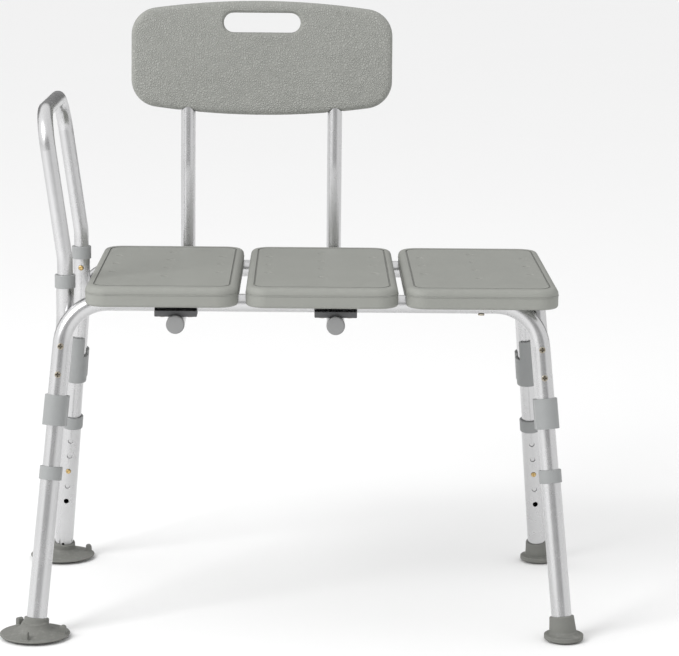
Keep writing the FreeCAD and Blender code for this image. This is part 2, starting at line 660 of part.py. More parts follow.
def bracket(end, side):
    """Moulded bracket around a post and the rail's tip beside it, with a tongue up the inner side."""
    name = f"{end}_{side}_bracket"
    body = new_body(name, leg_frame(end, side))
    start = size("bracket_start")
    length = size("bracket_length")
    hole = frame_radius + size("snug")
    outer = hole + size("bracket_wall")

    plan = new_sketch(body, "XY_Plane", name + "_plan", start)
    inner_arc = plan.addGeometry(Part.ArcOfCircle(Part.Circle(ORIGIN, UP, outer), math.pi, 2 * math.pi))
    outer_middle = Vector(0, tube_step, 0)
    outer_arc = plan.addGeometry(Part.ArcOfCircle(Part.Circle(outer_middle, UP, outer), 0, math.pi))
    right = plan.addGeometry(Part.LineSegment(Vector(outer, 0, 0), Vector(outer, tube_step, 0)))
    left = plan.addGeometry(Part.LineSegment(Vector(-outer, tube_step, 0), Vector(-outer, 0, 0)))
    for one, at_one, other, at_other in ((inner_arc, 2, right, 1), (right, 2, outer_arc, 1),
                                         (outer_arc, 2, left, 1), (left, 2, inner_arc, 1)):
        constrain(plan, "Tangent", one, at_one, other, at_other)
    constrain(plan, "Coincident", inner_arc, 3, -1, 1)
    constrain(plan, "PointOnObject", outer_arc, 3, -2)
    constrain(plan, "Radius", inner_arc, outer, name="outer",
              formula="Sizes.frame_tube / 2 + Sizes.snug + Sizes.bracket_wall")
    constrain(plan, "DistanceY", inner_arc, 3, outer_arc, 3, tube_step, name="step",
              formula="Sizes.frame_tube + Sizes.tube_gap")
    block = pad(body, plan, name + "_block", "Sizes.bracket_length")

    half = math.radians(size("tongue_half"))
    tongue = new_sketch(body, "XY_Plane", name + "_tongue_plan", start)
    middle = -math.pi / 2
    arcs = []
    for radius, key in ((outer, "far"), (hole, "near")):
        circle = Part.Circle(ORIGIN, UP, radius)
        arcs.append(tongue.addGeometry(Part.ArcOfCircle(circle, middle - half, middle + half)))
        constrain(tongue, "Coincident", arcs[-1], 3, -1, 1)
    for sign, at in ((-1, 1), (1, 2)):
        angle = middle + sign * half
        ray = Vector(math.cos(angle), math.sin(angle), 0)
        side_line = tongue.addGeometry(Part.LineSegment(ray * hole, ray * outer))
        constrain(tongue, "Coincident", side_line, 1, arcs[1], at)
        constrain(tongue, "Coincident", side_line, 2, arcs[0], at)
        constrain(tongue, "PointOnObject", -1, 1, side_line)
    constrain(tongue, "Symmetric", arcs[0], 1, arcs[0], 2, -2)
    constrain(tongue, "Radius", arcs[0], outer, name="far",
              formula="Sizes.frame_tube / 2 + Sizes.snug + Sizes.bracket_wall")
    constrain(tongue, "Radius", arcs[1], hole, name="near", formula="Sizes.frame_tube / 2 + Sizes.snug")
    constrain(tongue, "Angle", arcs[0], 2 * half, name="spread", formula="2 deg * Sizes.tongue_half")
    pad(body, tongue, name + "_tongue", "Sizes.bracket_length + Sizes.bracket_tongue")

    waist = new_sketch(body, "XY_Plane", name + "_waist_plan", start)
    for sign, key in ((-1, "left"), (1, "right")):
        centre = (sign * (outer + tube_step / 2 - size("bracket_waist")), tube_step / 2)
        reach = ("Sizes.frame_tube / 2 + Sizes.snug + Sizes.bracket_wall + "
                 "(Sizes.frame_tube + Sizes.tube_gap) / 2 - Sizes.bracket_waist")
        ring = waist.addGeometry(Part.Circle(Vector(*centre, 0), UP, tube_step / 2))
        constrain(waist, "Diameter", ring, tube_step, name=key, formula="Sizes.frame_tube + Sizes.tube_gap")
        ends = (-1, 1, ring, 3) if sign > 0 else (ring, 3, -1, 1)
        constrain(waist, "DistanceX", *ends, abs(centre[0]), name=key + "Reach", formula=reach)
        constrain(waist, "DistanceY", -1, 1, ring, 3, centre[1], name=key + "Height",
                  formula="(Sizes.frame_tube + Sizes.tube_gap) / 2")
    pocket(body, waist, name + "_waist", "Sizes.bracket_length", Reversed=True)

    through = new_sketch(body, "XY_Plane", name + "_post_plan", start)
    add_circle(through, (0, 0), 2 * hole, "bore", "Sizes.frame_tube + 2 * Sizes.snug")
    pocket(body, through, name + "_post_bore", "Sizes.bracket_length + Sizes.bracket_tongue", Reversed=True)
    socket = new_sketch(body, "XY_Plane", name + "_rail_plan", start + length)
    add_circle(socket, (0, tube_step), 2 * hole, "socket", "Sizes.frame_tube + 2 * Sizes.snug",
               ("0", "Sizes.frame_tube + Sizes.tube_gap"))
    pocket(body, socket, name + "_rail_bore", "Sizes.bracket_length - Sizes.bracket_floor")
    vent = new_sketch(body, "XZ_Plane", name + "_vent_plan")
    add_circle(vent, (0, start + length * size("vent_share")), size("bracket_vent"), "vent",
               "Sizes.bracket_vent", ("0", "Sizes.bracket_start + Sizes.vent_share * Sizes.bracket_length"))
    pocket(body, vent, name + "_vent", "Sizes.frame_tube", Reversed=False)
    return body


def leg_button(name, frame, station, tube_outside, reach):
    """Round-topped pin that stands out of the tube around it; frame's -Y is the way out."""
    outward = frame.Rotation.multVec(Vector(0, -1, 0))
    base = place(frame, 0, -reach, station)
    pin = cylinder(name + "_pin", "Sizes.button_diameter / 2",
                   f"Sizes.{tube_outside} / 2 + Sizes.button_stand - {reach}", base, outward)
    crown = base + outward * (size(tube_outside) / 2 + size("button_stand") - reach)
    dimple = doc.addObject("Part::Sphere", name + "_dimple")
    bind(dimple, Radius="Sizes.button_dimple")
    dimple.Placement = Placement(crown + outward * (size("button_dimple") * 0.55), Rotation())
    return cut(name, softened(name + "_soft", pin, outward, size("button_diameter") * 0.2), [dimple])


def leaf_spring(name, frame, station, reach, bore_radius):
    """V-shaped strip inside a tube: one leg bears on the far wall, the other lifts the button."""
    strip = size("spring_strip")
    width = size("spring_width")
    far = bore_radius - size("spring_clear")
    near = -reach + strip
    low = station - size("spring_length")
    points = [frame.multVec(Vector(0, *pair)) for pair in
              ((far, station + 2), (far, low), ((far + near) / 2, low - 9), (near, low), (near, station + 5))]
    wire = bent_wire(points, [3.5, 3.0, 3.5])
    start = wire.Edges[0].firstVertex().Point
    sideways = frame.Rotation.multVec(Vector(1, 0, 0)) * (width / 2)
    thick = frame.Rotation.multVec(Vector(0, 1, 0)) * (strip / 2)
    loop = [start + sideways + thick, start - sideways + thick, start - sideways - thick,
            start + sideways - thick, start + sideways + thick]
    piece = doc.addObject("Part::Feature", name)
    piece.Shape = swept(wire, Part.makePolygon(loop))
    piece.Label = name
    return piece


# ---------------------------------------------------------------- feet

def foot(label, end, side, outline, wall, top, extras=()):
    """Moulded foot: a turned base flat on the floor and a sleeve along the leaning leg."""
    frame = leg_frame(end, side)
    upward = frame.Rotation.multVec(UP)
    floor = frame.Base
    base = new_body(label + "_base", Placement(floor, Rotation()))
    section = new_sketch(base, "XZ_Plane", label + "_section")
    draw_outline(section, outline)
    turned = base.newObject("PartDesign::Revolution", label + "_turned")
    turned.Profile = section
    turned.ReferenceAxis = (section, ["V_Axis"])
    turned.Angle = 360
    sleeve = cylinder(label + "_sleeve", f"Sizes.leg_tube / 2 + Sizes.{wall}",
                      f"Sizes.{top} - Sizes.sleeve_start", place(frame, 0, 0, size("sleeve_start")), upward)
    whole = fused(label + "_whole", [base, sleeve, *extras])
    socket = cylinder(label + "_socket", "Sizes.leg_tube / 2 + Sizes.socket_play", f"Sizes.{top} * 3",
                      place(frame, 0, 0, size("leg_start") - 0.1), upward)
    below = doc.addObject("Part::Box", label + "_below")
    span = 6 * size("cup_radius")
    bind(below, Length="6 * Sizes.cup_radius", Width="6 * Sizes.cup_radius", Height="Sizes.cup_radius")
    below.Placement = Placement(floor + Vector(-span / 2, -span / 2, -size("cup_radius")), Rotation())
    return cut(label, whole, [socket, below])


def draw_outline(sketch, outline):
    """Closed outline of points and of arcs given as (middle, radius, first and last angle in degrees)."""
    runs = []
    for item in outline:
        if len(item) == 2:
            point = Vector(*item, 0)
            runs.append((point, point, None))
            continue
        middle, radius, first, last = item
        ends = [Vector(middle[0] + radius * math.cos(math.radians(turn)),
                       middle[1] + radius * math.sin(math.radians(turn)), 0) for turn in (first, last)]
        circle = Part.Circle(Vector(*middle, 0), UP, radius)
        runs.append((*ends, Part.ArcOfCircle(circle, *sorted(map(math.radians, (first, last))))))
    for (_, here, _), (there, _, curve) in zip(runs, runs[1:] + runs[:1]):
        sketch.addGeometry(Part.LineSegment(here, there))
        if curve:
            sketch.addGeometry(curve)


def suction_foot(end, side):
    rim = size("cup_radius")
    neck = leg_radius + size("cup_wall")
    lip = size("cup_lip")
    flank = size("cup_flank")
    shoulder = size("cup_shoulder")
    outline = [(0, size("cup_hollow")), (rim - 14, lip), (rim - 5, 0), ((rim - lip, lip), lip, -80, 80),
               ((neck + flank, shoulder), flank, 258, 183), (0, shoulder)]
    tabs = []
    for i, angle in enumerate((127, 257, 350)):
        tab = doc.addObject("Part::Box", f"{end}_{side}_tab_{i}")
        bind(tab, Length="Sizes.tab_thickness", Width="Sizes.tab_width", Height="Sizes.tab_height - 1.5")
        turn = Rotation(UP, angle if end == "front" else -angle)
        inner = Vector(rim - 4 - size("tab_thickness"), -size("tab_width") / 2, 1.5)
        tab.Placement = Placement(leg_frame(end, side).Base + turn.multVec(inner), turn)
        soft = doc.addObject("Part::Fillet", f"{end}_{side}_soft_tab_{i}")
        soft.Base = tab
        doc.recompute()
        thickness = size("tab_thickness")
        top = [j for j, edge in enumerate(tab.Shape.Edges, start=1)
               if edge.BoundBox.ZMin > 10 and abs(edge.Length - thickness) < 0.01]
        soft.Edges = [(j, size("tab_width") * 0.42, size("tab_width") * 0.42) for j in top]
        tabs.append(soft)
    return foot(f"{end}_{side}_suction_foot", end, side, outline, "cup_wall", "cup_top", tabs)


def rubber_tip(end, side):
    rim = size("tip_radius")
    neck = leg_radius + size("tip_wall")
    lip = size("tip_lip")
    flank = size("tip_flank")
    outline = [(0, 0), ((rim - lip, lip), lip, -80, 80),
               ((neck + flank - 0.2, size("tip_flank_height")), flank, 262, 184), (0, size("tip_shoulder"))]
    return foot(f"{end}_{side}_rubber_tip", end, side, outline, "tip_wall", "tip_top")


# ---------------------------------------------------------------- seat

def seat_panel(name, holes):
    """Moulded panel: rounded rim, groove around the top, drain holes, rail channels and recesses below."""
    label = f"{name}_seat_panel"
    body = new_body(label, Placement(Vector(panel_places[name], 0, panel_bottom), Rotation()))
    width = size("panel_width")
    depth = size("panel_depth")
    height = size("panel_height")
    corner = size("panel_corner")
    plan = new_sketch(body, "XY_Plane", label + "_plan")
    add_rounded_box(plan, width, depth, corner, "outline",
                    ("Sizes.panel_width", "Sizes.panel_depth", "Sizes.panel_corner"))
    block = pad(body, plan, label + "_block", "Sizes.panel_height")
    band = new_sketch(body, "XY_Plane", label + "_parting_plan", size("parting_level"))
    add_rounded_box(band, width + 2 * size("parting_stand"), depth + 2 * size("parting_stand"),
                    corner + size("parting_stand"), "parting",
                    ("Sizes.panel_width + 2 * Sizes.parting_stand",
                     "Sizes.panel_depth + 2 * Sizes.parting_stand",
                     "Sizes.panel_corner + Sizes.parting_stand"))
    block = pad(body, band, label + "_parting", "Sizes.parting_height")
    soft_top = rounded(body, block, label + "_soft_top", "Sizes.panel_top_round",
                       lambda edge: edge.BoundBox.ZMin > height - 0.01)
    soft_low = rounded(body, soft_top, label + "_soft_low", "Sizes.panel_low_round",
                       lambda edge: edge.BoundBox.ZMax < 0.01)

    groove = new_sketch(body, "XY_Plane", label + "_groove_plan", height)
    for key, share, extra in (("outer", 0, "0"), ("inner", size("groove_width"), "Sizes.groove_width")):
        add_rounded_box(groove, width - 2 * (size("groove_side") + share),
                        depth - 2 * (size("groove_inset") + share),
                        corner - size("groove_side") - share * 0.8, key,
                        (f"Sizes.panel_width - 2 * (Sizes.groove_side + {extra})",
                         f"Sizes.panel_depth - 2 * (Sizes.groove_inset + {extra})",
                         f"Sizes.panel_corner - Sizes.groove_side - 0.8 * {extra}"))
    pocket(body, groove, label + "_groove", "Sizes.groove_depth")

    clear = frame_radius + size("slide_play")
    channels = new_sketch(body, "YZ_Plane", label + "_channel_plan")
    centre = rail_height - panel_bottom
    for key, along in (("front", -1), ("rear", 1)):
        y = along * rail_reach
        circle = Part.Circle(Vector(y, centre, 0), UP, clear)
        round_top = channels.addGeometry(Part.ArcOfCircle(circle, 0, math.pi))
        foot_z = -5.0
        flare = lean_fore * (centre - foot_z)
        flares = [0, flare] if along < 0 else [flare, 0]
        ends = [Vector(y + clear, centre, 0), Vector(y + clear + flares[0], foot_z, 0),
                Vector(y - clear - flares[1], foot_z, 0), Vector(y - clear, centre, 0)]
        lines = [channels.addGeometry(Part.LineSegment(a, b)) for a, b in zip(ends, ends[1:])]
        constrain(channels, "Coincident", round_top, 1, lines[0], 1)
        constrain(channels, "Coincident", lines[0], 2, lines[1], 1)
        constrain(channels, "Coincident", lines[1], 2, lines[2], 1)
        constrain(channels, "Coincident", lines[2], 2, round_top, 2)
        constrain(channels, "Horizontal", round_top, 1, round_top, 3)
        constrain(channels, "Horizontal", round_top, 2, round_top, 3)
        constrain(channels, "Horizontal", lines[1])
        lean_formula = f"Sizes.lean_fore * (Sizes.panel_height - Sizes.rail_drop + {-foot_z})"
        inner, outer = (lines[0], lines[2]) if along < 0 else (lines[2], lines[0])
        constrain(channels, "Vertical", inner)
        constrain(channels, "DistanceX", outer, 1, outer, 2, flare, name=key + "Flare", formula=lean_formula)
        constrain(channels, "Radius", round_top, clear, name=key + "Radius",
                  formula="Sizes.frame_tube / 2 + Sizes.slide_play")
        constrain(channels, "DistanceX", -1, 1, round_top, 3, y, name=key + "Reach", formula=f"{y}")
        constrain(channels, "DistanceY", -1, 1, round_top, 3, centre, name=key + "Height",
                  formula="Sizes.panel_height - Sizes.rail_drop")
        constrain(channels, "DistanceY", lines[1], 1, -1, 1, -foot_z)
    pocket(body, channels, label + "_channels", "Sizes.panel_width * 2", Midplane=True)

    recess = new_sketch(body, "XY_Plane", label + "_recess_plan")
    margin = size("recess_margin")
    between = 2 * (rail_reach - clear - margin)
    add_rounded_box(recess, width - 2 * margin, between, size("recess_corner"), "recess",
                    ("Sizes.panel_width - 2 * Sizes.recess_margin", f"{between}", "Sizes.recess_corner"))
    pocket(body, recess, label + "_recess", "Sizes.recess_depth", Reversed=True)
    doc.recompute()
    return cut_panel(label, body, holes)


def cut_panel(label, body, holes):
    """Drain holes with countersunk mouths, and the screw holes from below."""
    body.Label = label + "_blank"
    tools = []
    pitch = size("drain_pitch")
    middle = Vector(body.Placement.Base.x, size("drain_shift"), 0)
    for column, count in ((-1, 3), (0, 4), (1, 3)):
        for i in range(count):
            spot = middle + Vector(column * pitch, (i - (count - 1) / 2) * pitch, 0)
            tools.append(cylinder(f"{label}_drain_{column}_{i}", "Sizes.drain_diameter / 2",
                                  "Sizes.panel_height * 2", spot + Vector(0, 0, panel_bottom - 10)))
            mouth = doc.addObject("Part::Cone", f"{label}_mouth_{column}_{i}")
            bind(mouth, Radius1="Sizes.drain_diameter / 2", Radius2="Sizes.drain_mouth / 2",
                 Height="Sizes.drain_dish")
            mouth.Placement = Placement(spot + Vector(0, 0, seat_top - size("drain_dish")), Rotation())
            tools.append(mouth)
    return cut(label, body, tools + holes)


# ---------------------------------------------------------------- handle and backrest

def side_handle():
    """Inverted U on the left: upright plugs, a kick outwards, then two legs and a level top bar."""
    low = receiver_top - size("handle_plug")
    kick = seat_top + size("handle_kick")
    top = seat_top + size("handle_height")
    out = receiver_x - (top - kick) * size("handle_lean")
    y = receiver_y
    points = [Vector(receiver_x, -y, low), Vector(receiver_x, -y, kick), Vector(out, -y, top),
              Vector(out, y, top), Vector(receiver_x, y, kick), Vector(receiver_x, y, low)]
    bend = size("handle_bend")
    tube = bent_tube("side_handle_blank", points, [bend * 1.8, bend, bend, bend * 1.8],
                     size("slim_tube"), size("slim_wall"))
    holes = [cylinder(f"handle_hole_{end}", "Sizes.hole_diameter / 2", "Sizes.frame_tube",
                      frame.Base, frame.Rotation.multVec(Vector(0, -1, 0)))
             for end, frame in handle_frames().items()]
    return cut("side_handle", tube, holes)


def handle_frames():
    """Frames of the two handle buttons: each points inwards along its own -Y."""
    height = seat_top - size("handle_button_drop")
    frames = {}
    for end, along in ENDS.items():
        turn = Rotation(UP, 0 if end == "rear" else 180)
        frames[end] = Placement(Vector(receiver_x, along * receiver_y, height), turn)
    return frames


def back_frames():
    """Frames of the two backrest buttons: -Y of each points down."""
    turn = Rotation(Vector(1, 0, 0), Vector(0, 0, 1), Vector(0, -1, 0), "ZXY")
    return {side: Placement(Vector(x, size("back_button"), back_height), turn)
            for side, x in back_tubes.items()}


def back_tube(side, tools):
    """Level run in the receiver, a bend up behind the seat, and a slight lean into the plate."""
    label = f"{side}_backrest_tube"
    reach = size("back_reach")
    kick = seat_top + size("back_kick") - back_height
    lean = math.radians(size("back_lean"))
    bend = size("back_bend")
    rise = seat_top + size("plate_base") + size("plate_cover") - back_height - kick
    run = rise * math.tan(lean)
    body = new_body(label + "_blank", Placement(Vector(back_tubes[side], 0, back_height), Rotation()))
    path = new_sketch(body, "YZ_Plane", label + "_path")
    level = path.addGeometry(Part.LineSegment(Vector(reach - bend - size("back_plug"), 0, 0),
                                              Vector(reach - bend, 0, 0)))
    circle = Part.Circle(Vector(reach - bend, bend, 0), UP, bend)
    corner = path.addGeometry(Part.ArcOfCircle(circle, -math.pi / 2, 0))
    soft = size("back_soft")
    half = soft * math.tan(lean / 2)
    upright = path.addGeometry(Part.LineSegment(Vector(reach, bend, 0), Vector(reach, kick - half, 0)))
    kick_circle = Part.Circle(Vector(reach + soft, kick - half, 0), UP, soft)
    kick_arc = path.addGeometry(Part.ArcOfCircle(kick_circle, math.pi - lean, math.pi))
    begin = Vector(reach + half * math.sin(lean), kick + half * math.cos(lean), 0)
    leaning = path.addGeometry(Part.LineSegment(begin, Vector(reach + run, kick + rise, 0)))
    constrain(path, "Horizontal", level)
    constrain(path, "PointOnObject", level, 1, -1)
    constrain(path, "Tangent", level, 2, corner, 1)
    constrain(path, "Tangent", corner, 2, upright, 1)
    constrain(path, "Tangent", upright, 2, kick_arc, 2)
    constrain(path, "Tangent", kick_arc, 1, leaning, 1)
    constrain(path, "Vertical", upright)
    constrain(path, "Radius", corner, bend, name="bend", formula="Sizes.back_bend")
    constrain(path, "Radius", kick_arc, soft, name="soft", formula="Sizes.back_soft")
    constrain(path, "DistanceX", level, 1, level, 2, size("back_plug"), name="plug",
              formula="Sizes.back_plug")
    constrain(path, "DistanceX", -1, 1, upright, 1, reach, name="reach", formula="Sizes.back_reach")
    constrain(path, "DistanceY", -1, 1, upright, 2, kick - half, name="kick",
              formula=f"Sizes.seat_height + Sizes.back_kick - {back_height + half}")
    constrain(path, "Angle", kick_arc, lean, name="lean", formula="Sizes.back_lean * 1 deg")
    constrain(path, "DistanceY", -1, 1, leaning, 2, kick + rise, name="top", formula=f"{kick + rise}")

    section = new_sketch(body, "XZ_Plane", label + "_section", -(reach - bend - size("back_plug")))
    add_circle(section, (0, 0), size("slim_tube"), "outside", "Sizes.slim_tube")
    add_circle(section, (0, 0), size("slim_tube") - 2 * size("slim_wall"), "bore",
               "Sizes.slim_tube - 2 * Sizes.slim_wall")
    pipe = body.newObject("PartDesign::AdditivePipe", label + "_pipe")
    pipe.Profile = section
    pipe.Spine = path
    doc.recompute()
    return cut(label, body, tools)


def plate_frame():
    """Backrest plate's frame: x across, y up along the leaning plate, z to the front."""
    lean = math.radians(size("back_lean"))
    upward = Vector(0, math.sin(lean), math.cos(lean))
    forward = Vector(0, -math.cos(lean), math.sin(lean))
    base_height = seat_top + size("plate_base")
    y = size("back_reach") + (base_height - seat_top - size("back_kick")) * math.tan(lean)
    return Placement(Vector(back_middle, y, base_height), Rotation(Vector(1, 0, 0), upward, forward, "ZXY"))


def backrest_plate(tools):
    """Plate with arched top and bottom edges, round corners, a hand slot and a rolled rim."""
    label = "backrest_plate"
    body = new_body(label + "_blank", plate_frame())
    width = size("plate_width")
    height = size("plate_height")
    side = size("plate_side")
    corner = size("plate_corner")
    thick = size("plate_thickness")
    rise = (height - side) / 2
    arch = ((width / 2) ** 2 + rise ** 2) / (2 * rise)
    outline = new_sketch(body, "XY_Plane", label + "_outline", -thick / 2)
    middle = height / 2
    inner = math.asin((width / 2 - corner) / (arch - corner))
    drop = arch - (arch - corner) * math.cos(inner)
    top_y = height - drop
    low_y = drop
    up_circle = Part.Circle(Vector(0, height - arch, 0), UP, arch)
    low_circle = Part.Circle(Vector(0, arch, 0), UP, arch)
    half_turn = math.pi / 2

    def corner_arc(x, y, first, last):
        return Part.ArcOfCircle(Part.Circle(Vector(x, y, 0), UP, corner), first, last)

    end_x = width / 2
    mid_x = width / 2 - corner
    pieces = [
        Part.ArcOfCircle(up_circle, half_turn - inner, half_turn + inner),
        corner_arc(-mid_x, top_y, half_turn + inner, math.pi),
        Part.LineSegment(Vector(-end_x, top_y, 0), Vector(-end_x, low_y, 0)),
        corner_arc(-mid_x, low_y, math.pi, 3 * half_turn - inner),
        Part.ArcOfCircle(low_circle, -half_turn - inner, -half_turn + inner),
        corner_arc(mid_x, low_y, -half_turn + inner, 0),
        Part.LineSegment(Vector(end_x, low_y, 0), Vector(end_x, top_y, 0)),
        corner_arc(mid_x, top_y, 0, half_turn - inner),
    ]
    ids = [outline.addGeometry(piece) for piece in pieces]
    chain = [(0, 2, 1, 1), (1, 2, 2, 1), (2, 2, 3, 1), (3, 2, 4, 1), (4, 2, 5, 1), (5, 2, 6, 1), (6, 2, 7, 1),
             (7, 2, 0, 1)]
    for one, at_one, other, at_other in chain:
        constrain(outline, "Tangent", ids[one], at_one, ids[other], at_other)
    constrain(outline, "Radius", ids[1], corner, name="corner", formula="Sizes.plate_corner")
    for other in (3, 5, 7):
        constrain(outline, "Equal", ids[1], ids[other])
    constrain(outline, "Equal", ids[0], ids[4])
    constrain(outline, "PointOnObject", ids[0], 3, -2)
    constrain(outline, "PointOnObject", ids[4], 3, -2)
    constrain(outline, "Vertical", ids[2])
    constrain(outline, "DistanceX", ids[2], 1, ids[6], 2, width, name="width", formula="Sizes.plate_width")
    constrain(outline, "Radius", ids[0], arch, name="arch", formula=f"{arch}")
    constrain(outline, "DistanceY", -1, 1, ids[4], 3, arch, name="low", formula=f"{arch}")
    constrain(outline, "DistanceY", ids[0], 3, -1, 1, arch - height, name="high",
              formula=f"{arch} - Sizes.plate_height")
    block = pad(body, outline, label + "_block", "Sizes.plate_thickness")

    slot = new_sketch(body, "XY_Plane", label + "_slot_plan", thick)
    slot_y = height - size("slot_drop") - size("slot_height") / 2
    radius = size("slot_height") / 2
    reach = size("slot_width") / 2 - radius
    arcs = [slot.addGeometry(Part.ArcOfCircle(Part.Circle(Vector(reach, slot_y, 0), UP, radius),
                                              -math.pi / 2, math.pi / 2)),
            slot.addGeometry(Part.ArcOfCircle(Part.Circle(Vector(-reach, slot_y, 0), UP, radius),
                                              math.pi / 2, 1.5 * math.pi))]
    high = slot_y + radius
    low = slot_y - radius
    lines = [slot.addGeometry(Part.LineSegment(Vector(reach, high, 0), Vector(-reach, high, 0))),
             slot.addGeometry(Part.LineSegment(Vector(-reach, low, 0), Vector(reach, low, 0)))]
    constrain(slot, "Tangent", arcs[0], 2, lines[0], 1)
    constrain(slot, "Tangent", lines[0], 2, arcs[1], 1)
    constrain(slot, "Tangent", arcs[1], 2, lines[1], 1)
    constrain(slot, "Tangent", lines[1], 2, arcs[0], 1)
    constrain(slot, "Horizontal", lines[0])
    constrain(slot, "Symmetric", arcs[0], 3, arcs[1], 3, -2)
    constrain(slot, "Radius", arcs[0], radius, name="round", formula="Sizes.slot_height / 2")
    constrain(slot, "DistanceX", arcs[1], 3, arcs[0], 3, 2 * reach, name="reach",
              formula="Sizes.slot_width - Sizes.slot_height")
    constrain(slot, "DistanceY", -1, 1, arcs[0], 3, slot_y, name="height",
              formula="Sizes.plate_height - Sizes.slot_drop - Sizes.slot_height / 2")
    opened = pocket(body, slot, label + "_slot", "Sizes.plate_thickness * 2")

    def rim(edge):
        box = edge.BoundBox
        flat = box.ZLength < 0.01 and abs(abs(box.ZMin) - thick / 2) < 0.01
        return flat and (box.YMax < slot_y - radius - 1 or box.YMin > slot_y + radius + 1
                         or abs(edge.CenterOfMass.x) > size("slot_width") / 2 + 20)

    def slot_rim(edge):
        box = edge.BoundBox
        flat = box.ZLength < 0.01 and abs(abs(box.ZMin) - thick / 2) < 0.01
        return flat and not rim(edge)

    soft = rounded(body, opened, label + "_rim", "Sizes.plate_round", rim)
    rounded(body, soft, label + "_slot_rim", "Sizes.plate_round * 0.5", slot_rim)
    doc.recompute()
    return cut(label, body, tools)


def plate_sockets():
    """Blind holes up into the plate for the backrest tubes."""
    frame = plate_frame()
    upward = frame.Rotation.multVec(Vector(0, 1, 0))
    lead = 20.0
    spare = 0.5
    holes = []
    for side, x in back_tubes.items():
        start = frame.multVec(Vector(x - back_middle, -lead, 0))
        holes.append(cylinder(f"plate_socket_{side}", "Sizes.slim_tube / 2 + Sizes.snug / 2",
                              f"Sizes.plate_cover + {lead + spare}", start, upward))
    return holes


def back_screws(name, play):
    """Two screws a tube, from behind the plate."""
    frame = plate_frame()
    behind = frame.Rotation.multVec(Vector(0, 0, -1))
    screws = []
    for side, x in back_tubes.items():
        for i, height in enumerate((size("plate_screw_low"), size("plate_screw_high"))):
            seat = frame.multVec(Vector(x - back_middle, height, -size("plate_thickness") / 2 - play))
            screws.append(screw(f"{name}_{side}_{i}", seat, behind, "Sizes.plate_thickness * 0.75", play))
    return screws


def back_receiver(side, tools):
    length = size("receiver_front") + size("receiver_back")
    start = Vector(back_tubes[side], -size("receiver_front"), back_height)
    return straight_tube(f"{side}_backrest_receiver", "Sizes.frame_tube", "Sizes.frame_wall", f"{length}",
                         start, Vector(0, 1, 0), tools)


def end_cap(label, seat, outward, tube="Sizes.frame_tube", wall="Sizes.frame_wall"):
    """Domed plug in a tube's open end."""
    dome = cylinder(label + "_dome", f"{tube} / 2 + Sizes.cap_stand", "Sizes.cap_length", seat, outward)
    soft = doc.addObject("Part::Fillet", label + "_soft")
    soft.Base = dome
    doc.recompute()
    rims = [i for i, edge in enumerate(dome.Shape.Edges, start=1)
            if edge.Curve.TypeId == "Part::GeomCircle"
            and (edge.Curve.Center - seat).dot(outward) > size("cap_length") / 2]
    soft.Edges = [(i, size("cap_round"), size("cap_round")) for i in rims]
    plug = cylinder(label + "_plug", f"{tube} / 2 - {wall} - Sizes.cap_play", "Sizes.cap_plug",
                    seat, -outward)
    return fused(label, [soft, plug])


def saddle(end, side, tools):
    """Block between a rail and a backrest receiver, hollowed to both tubes."""
    label = f"{end}_{side}_saddle"
    middle = saddle_places[end, side]
    low = -frame_radius - saddle_skirt
    block = doc.addObject("Part::Box", label + "_block")
    bind(block, Length="Sizes.saddle_width", Width="Sizes.saddle_depth",
         Height=f"{saddle_skirt} + Sizes.saddle_reach")
    corner = Vector(-size("saddle_width") / 2, -size("saddle_depth") / 2, low)
    block.Placement = Placement(middle + corner, Rotation())
    soft = doc.addObject("Part::Fillet", label + "_soft")
    soft.Base = block
    doc.recompute()
    corners = [i for i, edge in enumerate(block.Shape.Edges, start=1)
               if edge.BoundBox.ZLength > 3 or edge.BoundBox.ZMax < middle.z + low + 0.01]
    soft.Edges = [(i, 1.5, 1.5) for i in corners]
    over = cylinder(label + "_over", "Sizes.frame_tube / 2 + Sizes.snug", "Sizes.saddle_width * 2",
                    middle - Vector(size("saddle_width"), 0, 0), Vector(1, 0, 0))
    under = cylinder(label + "_under", "Sizes.frame_tube / 2 + Sizes.snug", "Sizes.saddle_depth * 2",
                     Vector(middle.x, middle.y - size("saddle_depth"), back_height), Vector(0, 1, 0))
    return cut(label, soft, [over, under, *tools])


# ---------------------------------------------------------------- assembly

nodes = []


def keep(piece):
    nodes.append(piece)
    return piece


play = size("screw_play")
for end in ENDS:
    holes = rail_screws(f"{end}_rail_hole", play)
    holes += seat_screws(f"{end}_rail_seat_hole", play)
    holes += saddle_screws(f"{end}_rail_saddle_hole", play)
    keep(drilled(f"{end}_rail", rail(end), holes))

handle_places = handle_frames()
for end, side in CORNERS:
    frame = leg_frame(end, side)
    tools = rail_screws(f"{end}_{side}_post_screw_hole", play)
    tools.append(button_hole(f"{end}_{side}_post_button_hole", frame, size("button_station")))
    if side == "right":
        keep(right_post(end, tools))
        keep(end_cap(f"{end}_{side}_post_cap", place(frame, 0, 0, post_end), frame.Rotation.multVec(UP)))
    else:
        window = handle_places[end]
        tools.append(cylinder(f"{end}_receiver_hole", "Sizes.hole_diameter / 2", "Sizes.frame_tube",
                              window.Base, window.Rotation.multVec(Vector(0, -1, 0))))
        keep(left_post(end, tools))
    keep(bracket(end, side))
    keep(leg(end, side))
    keep(collar(f"{end}_{side}_leg_collar", frame, size("leg_start") + size("leg_length"),
                "Sizes.leg_tube", "Sizes.frame_tube"))
    keep(suction_foot(end, side) if side == "left" else rubber_tip(end, side))
    keep(leg_button(f"{end}_{side}_leg_button", frame, size("button_station"), "leg_tube",
                    size("button_root")))
    keep(leaf_spring(f"{end}_{side}_leg_spring", frame, size("button_station"),
                     size("button_root") - size("spring_lap"), frame_radius - size("frame_wall")))

